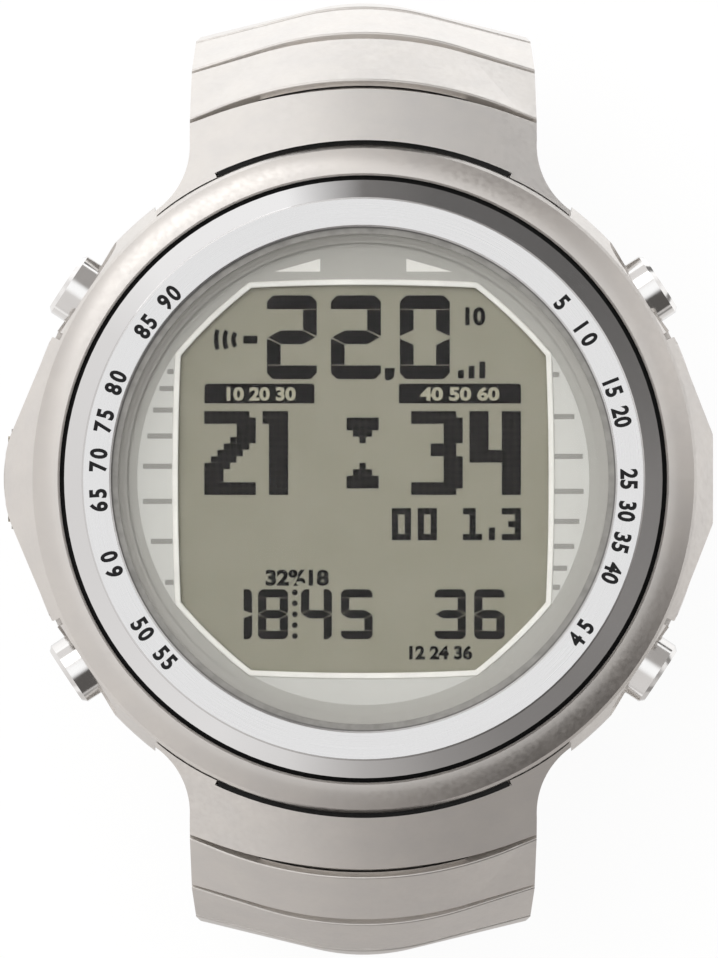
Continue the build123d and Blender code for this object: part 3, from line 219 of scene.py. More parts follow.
class Surface(Nodes):
    """A Principled material under construction, with its pattern nodes."""

    def __init__(self, name, colour, metallic=0.0, roughness=0.5):
        self.material = bpy.data.materials.new(name)
        self.material.use_nodes = True
        super().__init__(self.material.node_tree)
        self.output = self.add("ShaderNodeOutputMaterial")
        self.shader = self.add("ShaderNodeBsdfPrincipled")
        self.show(self.shader.outputs["BSDF"])
        self.fill(self.shader, Base_Color=(*colour, 1.0), Metallic=metallic, Roughness=roughness)
        self.colour = colour
        self.place = self.add("ShaderNodeTexCoord").outputs["Object"]

    def show(self, shader):
        self.link(shader, self.output.inputs["Surface"])

    def noise(self, size_mm, detail=2.0):
        """Noise with spots of one size."""
        return self.noise_on(self.place, 1.0 / (size_mm * MM), detail)

    def noise_on(self, vector, scale=1.0, detail=3.0):
        """Noise on pattern coordinates."""
        node = self.add("ShaderNodeTexNoise")
        self.fill(node, Vector=vector, Scale=scale, Detail=detail)
        return node.outputs["Fac"]

    def vary_colour(self, source, shift, tint=(1.0, 1.0, 1.0)):
        """Lets the colour wander by the share shift, from the pattern source."""
        dark = [part * (1.0 - shift) for part in self.colour]
        light = [min(1.0, part * (1.0 + shift) * tone) for part, tone in zip(self.colour, tint)]
        varied = self.blend(self.spread(source, 0.0, 1.0), (*dark, 1.0), (*light, 1.0))
        self.fill(self.shader, Base_Color=varied)

    def vary_roughness(self, source, low, high):
        self.fill(self.shader, Roughness=self.spread(source, low, high))

    def raise_relief(self, source, strength, depth_mm):
        node = self.add("ShaderNodeBump")
        self.fill(node, Strength=strength, Distance=depth_mm * MM, Height=source)
        self.fill(self.shader, Normal=node.outputs["Normal"])

    def polar(self, radius_step_mm, angle_steps, axis=2):
        """Pattern coordinates for brushing round an axis through the origin, and the height along it."""
        parts = self.parts(self.place)
        first, second = [parts[i] for i in range(3) if i != axis]
        fine = 1.0 / (radius_step_mm * MM)
        joined = self.add("ShaderNodeCombineXYZ")
        for socket, source, scale in ((0, self.across(first, second), fine),
                                      (1, self.maths("ARCTAN2", second, first), angle_steps / tau),
                                      (2, parts[axis], fine)):
            self.link(self.maths("MULTIPLY", source, scale), joined.inputs[socket])
        return joined.outputs[0], parts[axis]

    def stretched(self, x_mm, y_mm, z_mm):
        """Pattern coordinates for straight brushing, one size along each axis."""
        node = self.add("ShaderNodeMapping")
        self.fill(node, Vector=self.place, Scale=[1.0 / (size * MM) for size in (x_mm, y_mm, z_mm)])
        return node.outputs[0]


def blasted_titanium(name, colour, roughness=0.36):
    """Bead-blasted titanium: fine even grain with a soft cloudy tone."""
    made = Surface(name, colour, metallic=1.0, roughness=roughness)
    made.vary_colour(made.noise(2.4, 3.0), 0.025, (1.0, 0.995, 0.985))
    made.vary_roughness(made.noise(0.35), roughness - 0.05, roughness + 0.06)
    made.raise_relief(made.noise(0.07), 0.22, 0.006)
    return made.material


def bezel_finish(name, colour, depth):
    """Circular brushing on the flat face, polish on the slopes."""
    made = Surface(name, colour, metallic=1.0, roughness=0.28)
    vector, height = made.polar(0.03, 14.0)
    streaks = made.noise_on(vector)
    on_face = made.maths("GREATER_THAN", height, BEZEL_FACE_Z - 0.05 * MM)
    brushed = made.maths("MULTIPLY", on_face, made.spread(streaks, 0.22, 0.34))
    polished = made.maths("MULTIPLY", made.maths("SUBTRACT", 1.0, on_face),
                          made.spread(made.noise(0.5, 4.0), 0.05, 0.09))
    made.fill(made.shader, Roughness=made.maths("ADD", brushed, polished))
    made.vary_colour(made.maths("MULTIPLY", streaks, on_face), 0.02)
    made.raise_relief(made.maths("MULTIPLY", streaks, on_face), depth, 0.004)
    return made.material


def polished_metal(name, colour, roughness=0.11):
    """Polished metal with faint rubbing marks."""
    made = Surface(name, colour, metallic=1.0, roughness=roughness)
    made.vary_roughness(made.noise(0.6, 5.0), roughness * 0.7, roughness * 1.6)
    made.raise_relief(made.noise(0.9, 3.0), 0.04, 0.01)
    made.vary_colour(made.noise(1.7), 0.015)
    return made.material


def turned_metal(name, colour, roughness=0.3, axis=2):
    """Metal with fine turning marks round an axis."""
    made = Surface(name, colour, metallic=1.0, roughness=roughness)
    marks = made.noise_on(made.polar(0.06, 30.0, axis)[0])
    made.vary_roughness(marks, roughness - 0.07, roughness + 0.07)
    made.vary_colour(marks, 0.03)
    made.raise_relief(marks, 0.18, 0.005)
    return made.material


def moulded_plastic(name, colour, roughness=0.45, grain_mm=0.12):
    """Moulded plastic with a fine spark-eroded grain."""
    made = Surface(name, colour, roughness=roughness)
    made.vary_colour(made.noise(1.6), 0.05)
    made.vary_roughness(made.noise(0.4), roughness - 0.06, roughness + 0.06)
    made.raise_relief(made.noise(grain_mm), 0.15, 0.01)
    return made.material


def soft_rubber(name, colour):
    """Rubber with a dull, slightly uneven skin."""
    made = Surface(name, colour, roughness=0.62)
    made.fill(made.shader, Specular_IOR_Level=0.15)
    made.vary_roughness(made.noise(0.3, 3.0), 0.55, 0.75)
    made.vary_colour(made.noise(0.8), 0.15)
    made.raise_relief(made.noise(0.09), 0.2, 0.008)
    return made.material


def printed_ink(name, colour, roughness=0.5, shift=0.02, gloss=0.4):
    """Screen-printed ink: nearly even, with a very fine tooth."""
    made = Surface(name, colour, roughness=roughness)
    made.fill(made.shader, Specular_IOR_Level=gloss)
    made.vary_colour(made.noise(0.5, 3.0), shift)
    made.vary_roughness(made.noise(0.2), roughness - 0.05, roughness + 0.05)
    made.raise_relief(made.noise(0.06, 1.0), 0.08, 0.003)
    return made.material


def display_ground(name, colour):
    """The display's grey-green ground, faintly mottled like a reflector foil."""
    made = Surface(name, colour, roughness=0.42)
    made.vary_colour(made.noise(3.2), 0.035, (1.0, 1.0, 1.03))
    made.vary_roughness(made.noise(0.1), 0.38, 0.5)
    made.raise_relief(made.noise(0.05, 1.0), 0.06, 0.003)
    return made.material


def clear_glass(name, tint):
    """Anti-reflex glass that lets lamps through to what is under it."""
    made = Surface(name, tint, roughness=0.0)
    made.fill(made.shader, Transmission_Weight=1.0, IOR=1.1)
    made.vary_roughness(made.noise(6.0, 3.0), 0.0, 0.02)
    through = made.add("ShaderNodeBsdfTransparent")
    made.fill(through, Color=(*tint, 1.0))
    path = made.add("ShaderNodeLightPath").outputs
    lamps = made.maths("MAXIMUM", path["Is Shadow Ray"], path["Is Diffuse Ray"])
    made.show(made.mix(lamps, made.shader.outputs["BSDF"], through.outputs["BSDF"]))
    return made.material


def board_finish(name, colour):
    """Circuit board: green solder mask over faint copper tracks."""
    made = Surface(name, colour, roughness=0.4)
    tracks = made.add("ShaderNodeTexBrick")
    made.fill(tracks, Vector=made.place, Scale=1.0 / (2.2 * MM), Color1=(*colour, 1.0),
              Color2=(0.010, 0.075, 0.03, 1.0), Mortar=(0.03, 0.16, 0.06, 1.0))
    made.fill(made.shader, Base_Color=tracks.outputs["Color"])
    made.raise_relief(tracks.outputs["Fac"], 0.2, 0.02)
    made.vary_roughness(made.noise(0.5), 0.33, 0.48)
    return made.material


# ---- the display's content
# Strokes of a seven-part digit: top, upper right, lower right, bottom, lower left, upper left, middle.
STROKES = {"0": "abcdef", "2": "abged", "3": "abgcd", "4": "fgbc", "5": "afgcd", "6": "afgedc",
           "8": "abcdefg"}

# Large digits and symbols of the dot matrix, one text row per row of cells.
LARGE_CELLS = {
    "2": ("#######.", "########", ".....###", ".....###", "....####", "...####.", "..####..", ".####...",
          "####....", "###.....", "###.....", "########", "########"),
    "1": ("####",) * 2 + (".###",) * 11,
    "3": (("#######.", "########") + (".....###",) * 3 + ("...####.",) * 2 + (".....###",) * 4
          + ("########", "#######.")),
    "4": ("###..###",) * 6 + ("########",) * 2 + (".....###",) * 5,
    "down": ("#####", "#####", ".###.", "..#.."),
    "up": ("..#..", ".###.", "#####", "#####"),
}
SMALL_CELLS = {
    "0": ("###", "#.#", "#.#", "#.#", "###"),
    "1": ("##.", ".#.", ".#.", ".#.", "###"),
    "3": ("###", "..#", ".##", "..#", "###"),
    ".": ("#", "#"),
}
# (which cells, first column, first row) on the matrix, whose first cell is at the upper left.
MATRIX_LARGE = (("2", 0, 0), ("1", 9, 0), ("3", 32, 0), ("4", 41, 0), ("down", 22, 1), ("up", 22, 8))
MATRIX_SMALL = (("0", 29, 15), ("0", 33, 15), ("1", 40, 15), (".", 44, 18), ("3", 46, 15))

# All places and sizes of the display's marks are in millimetres, the places from its middle.
MATRIX_CORNER = (-11.11, 4.75)      # upper left

# Digits as (digit, left, right) in one row, which is given by its bottom and top.
UPPER_DIGITS = (("2", -6.73, -3.25), ("2", -2.26, 1.23), ("0", 2.55, 6.04))
UPPER_ROW, UPPER_STROKE = (6.97, 12.82), 0.96
LOWER_DIGITS = (("8", -7.35, -5.26), ("4", -4.35, -2.19), ("5", -1.56, 0.65), ("3", 4.99, 7.16),
                ("6", 7.74, 9.87))
LOWER_ROW, LOWER_STROKE = (-11.18, -7.7), 0.58
FIRST_ONE = (-8.36, -7.76)
FIRST_ONE_CUT, FIRST_ONE_GAP, FIRST_ONE_SLANT = (0.2, 0.3), 0.06, 0.22
COMMA = ((1.5, 7.75), (1.5, 7.0), (1.62, 6.88), (1.9, 6.9), (2.15, 7.15), (2.2, 7.75))
MINUS = (-8.38, -7.4, 9.45, 10.0)
COLON_X, COLON_DROP, COLON_PITCH, COLON_RADIUS, COLON_DOTS = -4.78, 0.22, 0.76, 0.2, 5

# Waves as (radius, half angle in degrees) about one middle, open to the left.
WAVES = ((0.78, 38), (1.38, 27), (1.98, 20))
WAVE_MIDDLE, WAVE_STROKE = (-8.3, 9.73), 0.32

# Rising bars: the left of the first, their pitch and width, their bottom, the first top and its step.
RISING_LEFT, RISING_PITCH, RISING_WIDTH = 6.6, 0.75, 0.42
RISING_LOW, RISING_TOP, RISING_STEP, RISING_BARS = 7.02, 7.6, 0.3, 3

# Label bars as (left, right) in one row, and lines of numerals as (text, middle, height, width factor).
LABEL_BARS = ((-11.09, -3.41), (2.48, 11.01))
LABEL_ROW, LABEL_ROUND = (5.28, 6.66), 0.22
LABEL_NUMERALS = (("10 20 30", (-7.25, 5.97), 0.9, 1.15), ("40 50 60", (6.75, 5.97), 0.9, 1.25))
SMALL_NUMERALS = (("32%18", (-4.64, -6.86), 1.05, 1.15), ("12 24 36", (5.3, -12.1), 0.9, 1.05),
                  ("10", (7.68, 11.4), 1.2, 1.0))


# ---- building blocks for shapes
DIGIT_HEIGHT = 0.73         # of the built-in letters at a size of 1


def new_object(name, bm, material):
    mesh = bpy.data.meshes.new(name)
    bm.to_mesh(mesh)
    bm.free()
    mesh.materials.append(material)
    made = bpy.data.objects.new(name, mesh)
    bpy.context.scene.collection.objects.link(made)
    return made


def finished_piece(name, bm, material, body="head"):
    """Turns a bmesh into a piece that rides on a body."""
    bmesh.ops.recalc_face_normals(bm, faces=bm.faces)
    piece = new_object(name, bm, material)
    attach(piece, body)


def only(kind, parts):
    return [part for part in parts if isinstance(part, kind)]


def faces_at(verts):
    return list({face for vert in verts for face in vert.link_faces})


def numeral_mesh(text, weight):
    """Numerals one unit thick, centred, standing on the line of writing."""
    curve = bpy.data.curves.new("numeral", "FONT")
    curve.body = text
    curve.align_x = "CENTER"
    curve.offset = weight
    curve.extrude = 0.5
    curve.resolution_u = 4
    holder = bpy.data.objects.new("numeral", curve)
    mesh = bpy.data.meshes.new_from_object(holder)
    bpy.data.objects.remove(holder)
    bpy.data.curves.remove(curve)
    return mesh


class Marks:
    """Flat marks of one thickness on one level, which become one piece. Lengths are in metres."""

    def __init__(self, z, thick):
        self.bm = bmesh.new()
        self.z, self.thick = z, thick

    def lift(self, faces):
        """Extrudes flat faces upwards into closed plates."""
        made = bmesh.ops.extrude_face_region(self.bm, geom=faces, use_keep_orig=True)
        bmesh.ops.translate(self.bm, verts=only(BMVert, made["geom"]), vec=(0.0, 0.0, self.thick))

    def plate(self, corners):
        self.lift([self.bm.faces.new([self.bm.verts.new((x, y, self.z)) for x, y in corners])])

    def bar(self, x0, x1, y0, y1):
        self.plate([(x0, y0), (x1, y0), (x1, y1), (x0, y1)])

    def rounded_bar(self, x0, x1, y0, y1, radius):
        """A bar whose upper corners are rounded."""
        verts = [self.bm.verts.new((x, y, self.z)) for x, y in ((x0, y0), (x1, y0), (x1, y1), (x0, y1))]
        self.bm.faces.new(verts)
        made = bmesh.ops.bevel(self.bm, geom=verts[2:], offset=radius, offset_type="OFFSET", segments=4,
                               profile=0.5, affect="VERTICES", material=-1)
        self.lift(faces_at(made["verts"]))

    def disc(self, x, y, radius, steps, line=None):
        """A disc, or the part of it beyond a line, which is given by its direction and distance."""
        made = bmesh.ops.create_circle(self.bm, cap_ends=True, segments=steps, radius=radius,
                                       matrix=Matrix.Translation((x, y, self.z)))
        faces = faces_at(made["verts"])
        if line:
            geom = [*made["verts"], *faces, *{edge for face in faces for edge in face.edges}]
            cut = bmesh.ops.bisect_plane(self.bm, geom=geom, plane_co=Vector(line[0]) * line[1],
                                         plane_no=line[0], clear_inner=True)
            faces = only(BMFace, cut["geom"])
        self.lift(faces)

    def strip(self, x, y, inner, outer, start, angle, steps):
        """A strip of a ring about (x, y), from start degrees over angle degrees."""
        ends = [self.bm.verts.new((x + r * cos(radians(start)), y + r * sin(radians(start)), self.z))
                for r in (inner, outer)]
        before = set(self.bm.faces)
        bmesh.ops.spin(self.bm, geom=[*ends, self.bm.edges.new(ends)], cent=(x, y, self.z), axis=(0, 0, 1),
                       angle=radians(angle), steps=steps, use_merge=abs(angle) >= 360)
        self.lift([face for face in self.bm.faces if face not in before])

    def numerals(self, text, centre, height, width, weight, turn=0.0):
        """A line of numerals, its middle at centre and turned by turn radians."""
        mesh = numeral_mesh(text, weight)
        size = height / DIGIT_HEIGHT
        mesh.transform(Matrix.Translation((*centre, self.z + self.thick / 2)) @ Matrix.Rotation(turn, 4, "Z")
                       @ Matrix.Diagonal((size * width, size, self.thick, 1.0))
                       @ Matrix.Translation((0.0, -DIGIT_HEIGHT / 2, 0.0)))
        self.bm.from_mesh(mesh)
        bpy.data.meshes.remove(mesh)

    def digit(self, digit, x0, x1, y0, y1, stroke):
        """One digit of seven strokes with cut corners, filling the box."""
        gap, cut, half = stroke * 0.045, stroke * 0.45, stroke / 2
        middle = (y0 + y1) / 2
        strokes = STROKES[digit]

        def upright(x_out, x_in, y_end, sign, free):
            """From next to the end bar, or from the end, to the middle."""
            start = y_end - sign * (0 if free else stroke + gap)
            corners = [(x_out, start), (x_out, middle + sign * gap * 2),
                       (x_in, middle + sign * (half + gap)), (x_in, start)]
            if free:
                tip = x_out + (cut if x_in > x_out else -cut)
                corners = [(tip, start), (x_out, start - sign * cut), *corners[1:]]
            self.plate(corners)

        for name, y_out, sign in (("a", y1, 1), ("d", y0, -1)):
            if name in strokes:
                y_in, y_cut = y_out - sign * stroke, y_out - sign * cut
                self.plate([(x0, y_in), (x0, y_cut), (x0 + cut, y_out), (x1 - cut, y_out), (x1, y_cut),
                            (x1, y_in)])
        for name, end, x_out, x_in, y_end, sign in (
                ("b", "a", x1, x1 - stroke, y1, 1), ("c", "d", x1, x1 - stroke, y0, -1),
                ("f", "a", x0, x0 + stroke, y1, 1), ("e", "d", x0, x0 + stroke, y0, -1)):
            if name in strokes:
                upright(x_out, x_in, y_end, sign, end not in strokes)
        if "g" in strokes:
            reach = gap * 2
            self.plate([(x0 + reach, middle), (x0 + stroke, middle - half), (x1 - stroke, middle - half),
                        (x1 - reach, middle), (x1 - stroke, middle + half), (x0 + stroke, middle + half)])

    def cells(self, rows, column, row, cell, gap):
        """A shape of the dot matrix, its first cell in the given column and row."""
        left, top = mm(*MATRIX_CORNER)
        for down, line in enumerate(rows, row):
            for across, mark in enumerate(line, column):
                if mark == "#":
                    x, y = left + across * cell, top - down * cell
                    self.bar(x + gap / 2, x + cell - gap / 2, y - cell + gap / 2, y - gap / 2)

    def finish(self, name, material, slot):
        finished_piece(name, self.bm, material)


# ---- operators
class DressOperator:
    bl_options = {"REGISTER", "UNDO"}


def give_finish(material, *names):
    """Puts one material on CAD nodes."""
    for name in names:
        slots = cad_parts[name].material_slots
        if not slots:
            raise RuntimeError(f"{name} has no material slot")
        for slot in slots:
            slot.material = material


class DIVE_OT_finish_case(DressOperator, Operator):
    """Gives the case, bezel, crystal and pushers their finishes"""
    bl_idname = "dive.finish_case"
    bl_label = "Finish Case"

    def execute(self, context):
        bezel, finish = context.scene.dive_bezel, context.scene.dive_finish
        give_finish(blasted_titanium("blasted_titanium", finish.titanium), "case_body", "sensor_cover")
        give_finish(bezel_finish("brushed_bezel", finish.bezel, bezel.brushing), "bezel_ring")
        give_finish(clear_glass("crystal_glass", (0.985, 0.99, 0.985)), "crystal")
        black = soft_rubber("black_gasket", finish.rubber)
        give_finish(black, "bezel_gasket", "case_back_seal", "stem_seals")
        give_finish(soft_rubber("grey_gasket", (0.28, 0.275, 0.26)), "crystal_gasket")
        pushers = [f"pusher_{place}" for place in ("upper_right", "upper_left", "lower_left", "lower_right")]
        give_finish(polished_metal("polished_pusher", finish.steel), *pushers)
        clip_steel = turned_metal("clip_steel", (0.55, 0.55, 0.54))
        give_finish(clip_steel, *[f"{pusher}_clip" for pusher in pushers])
        spring_steel = turned_metal("spring_steel", (0.5, 0.5, 0.5))
        give_finish(spring_steel, *[f"{pusher}_spring" for pusher in pushers])
        give_finish(turned_metal("turned_back", (0.66, 0.64, 0.62), 0.3), "case_back")
        give_finish(polished_metal("screw_steel", (0.6, 0.59, 0.58), 0.2), "case_back_screws", "lug_pins")
        give_finish(turned_metal("tube_steel", (0.55, 0.54, 0.53)), "guide_tubes")
        give_finish(moulded_plastic("contact_block_plastic", (0.36, 0.35, 0.335)), "contact_block")
        give_finish(polished_metal("contact_pin_metal", (0.45, 0.40, 0.32), 0.25), "contact_pins")
        give_finish(turned_metal("sensor_steel", (0.5, 0.5, 0.5), axis=0), "pressure_sensor")
        return {"FINISHED"}


class DIVE_OT_finish_module(DressOperator, Operator):
    """Gives the display and the parts inside the case their finishes"""
    bl_idname = "dive.finish_module"
    bl_label = "Finish Module"

    def execute(self, context):
        finish = context.scene.dive_finish
        give_finish(printed_ink("mask_print", finish.mask), "display_mask")
        give_finish(display_ground("display_ground", finish.lcd), "lcd_panel")
        give_finish(moulded_plastic("light_guide_plastic", (0.75, 0.76, 0.72), 0.3), "light_guide")
        give_finish(moulded_plastic("frame_plastic", (0.03, 0.03, 0.03)), "module_frame")
        give_finish(board_finish("board_green", (0.012, 0.09, 0.035)), "circuit_board")
        give_finish(moulded_plastic("switch_plastic", (0.05, 0.05, 0.05)), "side_switches")
        give_finish(turned_metal("battery_steel", (0.68, 0.68, 0.67), 0.25), "battery")
        brass = polished_metal("contact_brass", (0.75, 0.56, 0.26), 0.25)
        give_finish(brass, "battery_contact", "buzzer_disc")
        return {"FINISHED"}


class DIVE_OT_finish_bracelet(DressOperator, Operator):
    """Gives the bracelet and the clasp their finishes"""
    bl_idname = "dive.finish_bracelet"
    bl_label = "Finish Bracelet"

    def execute(self, context):
        finish = context.scene.dive_finish
        links = [f"{side}_link_{index}" for side in ("upper", "lower") for index in range(1, 7)]
        blasted = blasted_titanium("blasted_bracelet", finish.titanium)
        give_finish(blasted, "upper_end_link", "lower_end_link", *links, "clasp_cover")
        plates = Surface("brushed_clasp_plate", (0.66, 0.64, 0.62), metallic=1.0, roughness=0.3)
        streaks = plates.noise_on(plates.stretched(0.06, 3.0, 0.06))
        plates.vary_roughness(streaks, 0.24, 0.38)
        plates.vary_colour(streaks, 0.03)
        plates.raise_relief(streaks, 0.15, 0.004)
        give_finish(plates.material, "clasp_plate", "clasp_arm")
        polished = polished_metal("polished_button", finish.steel)
        give_finish(polished, "clasp_button_right", "clasp_button_left")
        return {"FINISHED"}


class DIVE_OT_add_mask_print(DressOperator, Operator):
    """Prints the panels, tick bars and wedges round the display window"""
    bl_idname = "dive.add_mask_print"
    bl_label = "Add Mask Print"

    # Tick bars as (height above the middle, length), their half width and their distance from the
    # panels' edge, then the wedges' corners, all in millimetres.
    left_ticks = ((7.5, 0.45), (6.31, 1.0), (4.81, 1.45), (3.0, 1.85), (0.89, 2.15), (-1.56, 2.15),
                  (-4.35, 1.6), (-7.21, 0.6))
    right_ticks = ((7.29, 0.45), (4.36, 1.5), (1.58, 2.1), (-0.86, 2.15), (-2.96, 1.85), (-4.7, 1.5),
                   (-6.23, 1.0), (-7.56, 0.5))
    tick_half, tick_gap = 0.18, 0.12
    wedge = ((6.2, 14.47), (3.0, 14.47), (3.0, 15.38))
    bared_trim = 0.9            # share of the trim's width that lies inside the panels' edges
    bottom_tone, tick_tone = 0.93, 0.72

    def add_panel(self, name, material, normals, offset, display, steps):
        """Prints the parts of a disc beyond straight lines."""
        panel = Marks(MASK_FACE_Z, display.ink)
        for normal in normals:
            panel.disc(0, 0, display.panel_radius, steps, (normal, offset))
        panel.finish(name, material, "mask_print")

    def execute(self, context):
        display, finish = context.scene.dive_display, context.scene.dive_finish
        shared, light = (display, context.scene.dive_stage.circle_steps), finish.panel_light
        side_x = display.window_half_x + display.trim_width * self.bared_trim
        end_y = display.window_half_y + display.trim_width * self.bared_trim
        side_ink = printed_ink("panel_ink_light", light)
        self.add_panel("side_panels", side_ink, ((1, 0, 0), (-1, 0, 0)), side_x, *shared)
        bottom_ink = printed_ink("panel_ink_bottom", [part * self.bottom_tone for part in light])
        self.add_panel("bottom_panel", bottom_ink, ((0, -1, 0),), end_y, *shared)
        top_ink = printed_ink("panel_ink_dark", finish.panel_dark)
        self.add_panel("top_panel", top_ink, ((0, 1, 0),), end_y, *shared)

        z = MASK_FACE_Z + display.ink
        bars = Marks(z, display.ink)
        near = side_x + self.tick_gap * MM
        for side, ticks in ((-1, self.left_ticks), (1, self.right_ticks)):
            for height, length in ticks:
                ends = sorted((side * near, side * (near + length * MM)))
                bars.bar(*ends, *mm(height - self.tick_half, height + self.tick_half))
        tick_ink = printed_ink("tick_ink", [part * self.tick_tone for part in finish.mask])
        bars.finish("tick_bars", tick_ink, "mask_print")

        wedges = Marks(z, display.ink)
        for side in (-1, 1):
            wedges.plate([mm(side * x, y) for x, y in self.wedge])
        wedges.finish("wedge_marks", printed_ink("wedge_ink", finish.trim), "mask_print")
        return {"FINISHED"}


class DIVE_OT_add_window_trim(DressOperator, Operator):
    """Adds the light trim round the display window, the band under the glass, and thin dark lines of painted
    shadow at the gaps beside the glass gasket
    """
    bl_idname = "dive.add_window_trim"
    bl_label = "Add Window Trim"

    side_growth = 0.4           # how far the trim's sides outgrow the window's, as a share of its width
    side_cuts, sharp_edge = 9, radians(60)
    on_line = 1.00001           # how much longer the way by a point may be, for it to lie on a side
    overlap, edge_round = 0.02, 0.09    # over the window's edge, and on the upper edges, in millimetres
    clearance, line_inset = 0.002, 0.02     # under the glass, and inside the gasket, in millimetres

    def bow_sides(self, bm, corners, bow):
        """Bows the straight sides between the corners outwards."""
        for vert in bm.verts:
            for start, end in zip(corners, corners[1:] + corners[:1]):
                middle, span = (start + end) / 2, (end - start).length
                if (vert.co - start).length + (vert.co - end).length < span * self.on_line:
                    share = 2 * (vert.co - middle).length / span
                    vert.co += Vector((middle.x, middle.y, 0)).normalized() * bow * (1 - share * share)
                    break

    def add_trim(self, display, material):
        grow = display.trim_width
        x, y = display.window_half_x + grow, display.window_half_y + grow
        top = display.window_top_half + grow * self.side_growth
        side = display.window_side_half + grow * self.side_growth
        corners = [Vector((*corner, MASK_FACE_Z)) for corner in (
            (x, -side), (x, side), (top, y), (-top, y), (-x, side), (-x, -side), (-top, -y), (top, -y))]
        trim = Marks(MASK_FACE_Z, display.trim_height)
        bm = trim.bm
        bm.faces.new([bm.verts.new(corner) for corner in corners])
        bmesh.ops.subdivide_edges(bm, edges=bm.edges[:], cuts=self.side_cuts)
        self.bow_sides(bm, corners, display.window_bow)
        bmesh.ops.inset_individual(bm, faces=bm.faces[:], thickness=grow + self.overlap * MM,
                                   use_even_offset=True)
        window = max(bm.faces, key=lambda face: len(face.verts))
        bmesh.ops.delete(bm, geom=[window], context="FACES")
        trim.lift(list(bm.faces))
        rim = [edge for edge in bm.edges
               if all(vert.co.z > MASK_FACE_Z + display.trim_height / 2 for vert in edge.verts)
               and abs(edge.calc_face_angle(0.0)) > self.sharp_edge]
        bmesh.ops.bevel(bm, geom=rim, offset=self.edge_round * MM, offset_type="OFFSET", segments=3,
                        profile=0.5, affect="EDGES", material=-1)
        trim.finish("window_trim", material, "mask_print")

    def execute(self, context):
        display, finish = context.scene.dive_display, context.scene.dive_finish
        steps, line = context.scene.dive_stage.circle_steps, display.gap_shadow_width
        self.add_trim(display, moulded_plastic("trim_plastic", finish.trim, 0.38, 0.08))
        under_glass = GLASS_LOW_Z + self.clearance * MM
        band = Marks(under_glass, display.ink)
        band.strip(0, 0, display.band_inner, display.band_outer, 0, 360, steps)
        band.finish("glass_band", printed_ink("band_ink", finish.mask), "mask_print")
        # Painted shadow: dark lines under the glass at the band's outer edge and on the gasket's outer edge,
        # where the narrow gaps beside the gasket lie in shade
        lines = Marks(under_glass, display.ink)
        lines.strip(0, 0, display.band_outer, display.band_outer + line, 0, 360, steps)
        lines.z, outer = GASKET_TOP_Z, GASKET_RADIUS - self.line_inset * MM
        lines.strip(0, 0, outer - line, outer, 0, 360, steps)
        lines.finish("gap_shadow_lines", printed_ink("gap_shadow_paint", finish.gap_shadow_paint), "mask_print")
        return {"FINISHED"}


class DIVE_OT_add_display_digits(DressOperator, Operator):
    """Adds the dark digits and marks of the display"""
    bl_idname = "dive.add_display_digits"
    bl_label = "Add Display Digits"

    rise = 0.01                 # height of the marks over the display's ground, in millimetres
    pale_tone = 1.5
    label_ink, label_weight, small_weight = 0.01, 0.04, 0.045
    dot_steps, wave_steps = 20, 10

    def upper_digits(self, marks):
        for digit, *ends in UPPER_DIGITS:
            marks.digit(digit, *mm(*ends, *UPPER_ROW, UPPER_STROKE))
        marks.plate([mm(*corner) for corner in COMMA])
        marks.bar(*mm(*MINUS))

    def signal_waves(self, marks):
        for radius, half in WAVES:
            edges = mm(*WAVE_MIDDLE, radius - WAVE_STROKE / 2, radius + WAVE_STROKE / 2)
            marks.strip(*edges, 180 - half, 2 * half, self.wave_steps)

    def lower_digits(self, marks):
        for digit, *ends in LOWER_DIGITS:
            marks.digit(digit, *mm(*ends, *LOWER_ROW, LOWER_STROKE))
        middle = sum(LOWER_ROW) / 2
        (left, right), (cut_x, cut_y) = FIRST_ONE, FIRST_ONE_CUT
        for sign, end in ((1, LOWER_ROW[1]), (-1, LOWER_ROW[0])):
            corners = ((left, end), (right - cut_x, end), (right, end - sign * cut_y),
                       (right, middle + sign * FIRST_ONE_GAP),
                       (left, middle + sign * (FIRST_ONE_GAP + FIRST_ONE_SLANT)))
            marks.plate([mm(*corner) for corner in corners])
        for step in range(COLON_DOTS):
            y = LOWER_ROW[1] - COLON_DROP - step * COLON_PITCH
            marks.disc(*mm(COLON_X, y, COLON_RADIUS), self.dot_steps)

    def label_bars(self, marks):
        for ends in LABEL_BARS:
            marks.rounded_bar(*mm(*ends, *LABEL_ROW, LABEL_ROUND))

    def bar_numerals(self, marks):
        """Numerals that lie on the label bars."""
        marks.z, marks.thick = marks.z + marks.thick, self.label_ink * MM
        for numerals, middle, height, width in LABEL_NUMERALS:
            marks.numerals(numerals, mm(*middle), height * MM, width, self.label_weight)

    def small_numerals(self, marks):
        for numerals, middle, height, width in SMALL_NUMERALS:
            marks.numerals(numerals, mm(*middle), height * MM, width, self.small_weight)
        for step in range(RISING_BARS):
            left, top = RISING_LEFT + step * RISING_PITCH, RISING_TOP + step * RISING_STEP
            marks.bar(*mm(left, left + RISING_WIDTH, RISING_LOW, top))

    def execute(self, context):
        display, finish = context.scene.dive_display, context.scene.dive_finish
        dark = printed_ink("segment_dark", finish.segment, 0.4, 0.06, 0.05)
        pale = printed_ink("segment_pale", [part * self.pale_tone for part in finish.lcd], 0.45)

        def matrix_cells(marks):
            for shapes, places in ((LARGE_CELLS, MATRIX_LARGE), (SMALL_CELLS, MATRIX_SMALL)):
                for symbol, column, row in places:
                    marks.cells(shapes[symbol], column, row, display.cell, display.cell_gap)

        for draw, material in ((self.upper_digits, dark), (self.signal_waves, dark),
                               (self.lower_digits, dark), (matrix_cells, dark), (self.label_bars, dark),
                               (self.bar_numerals, pale), (self.small_numerals, dark)):
            marks = Marks(LCD_FACE_Z + self.rise * MM, display.ink)
            draw(marks)
            marks.finish(draw.__name__, material, "lcd_glass")
        return {"FINISHED"}


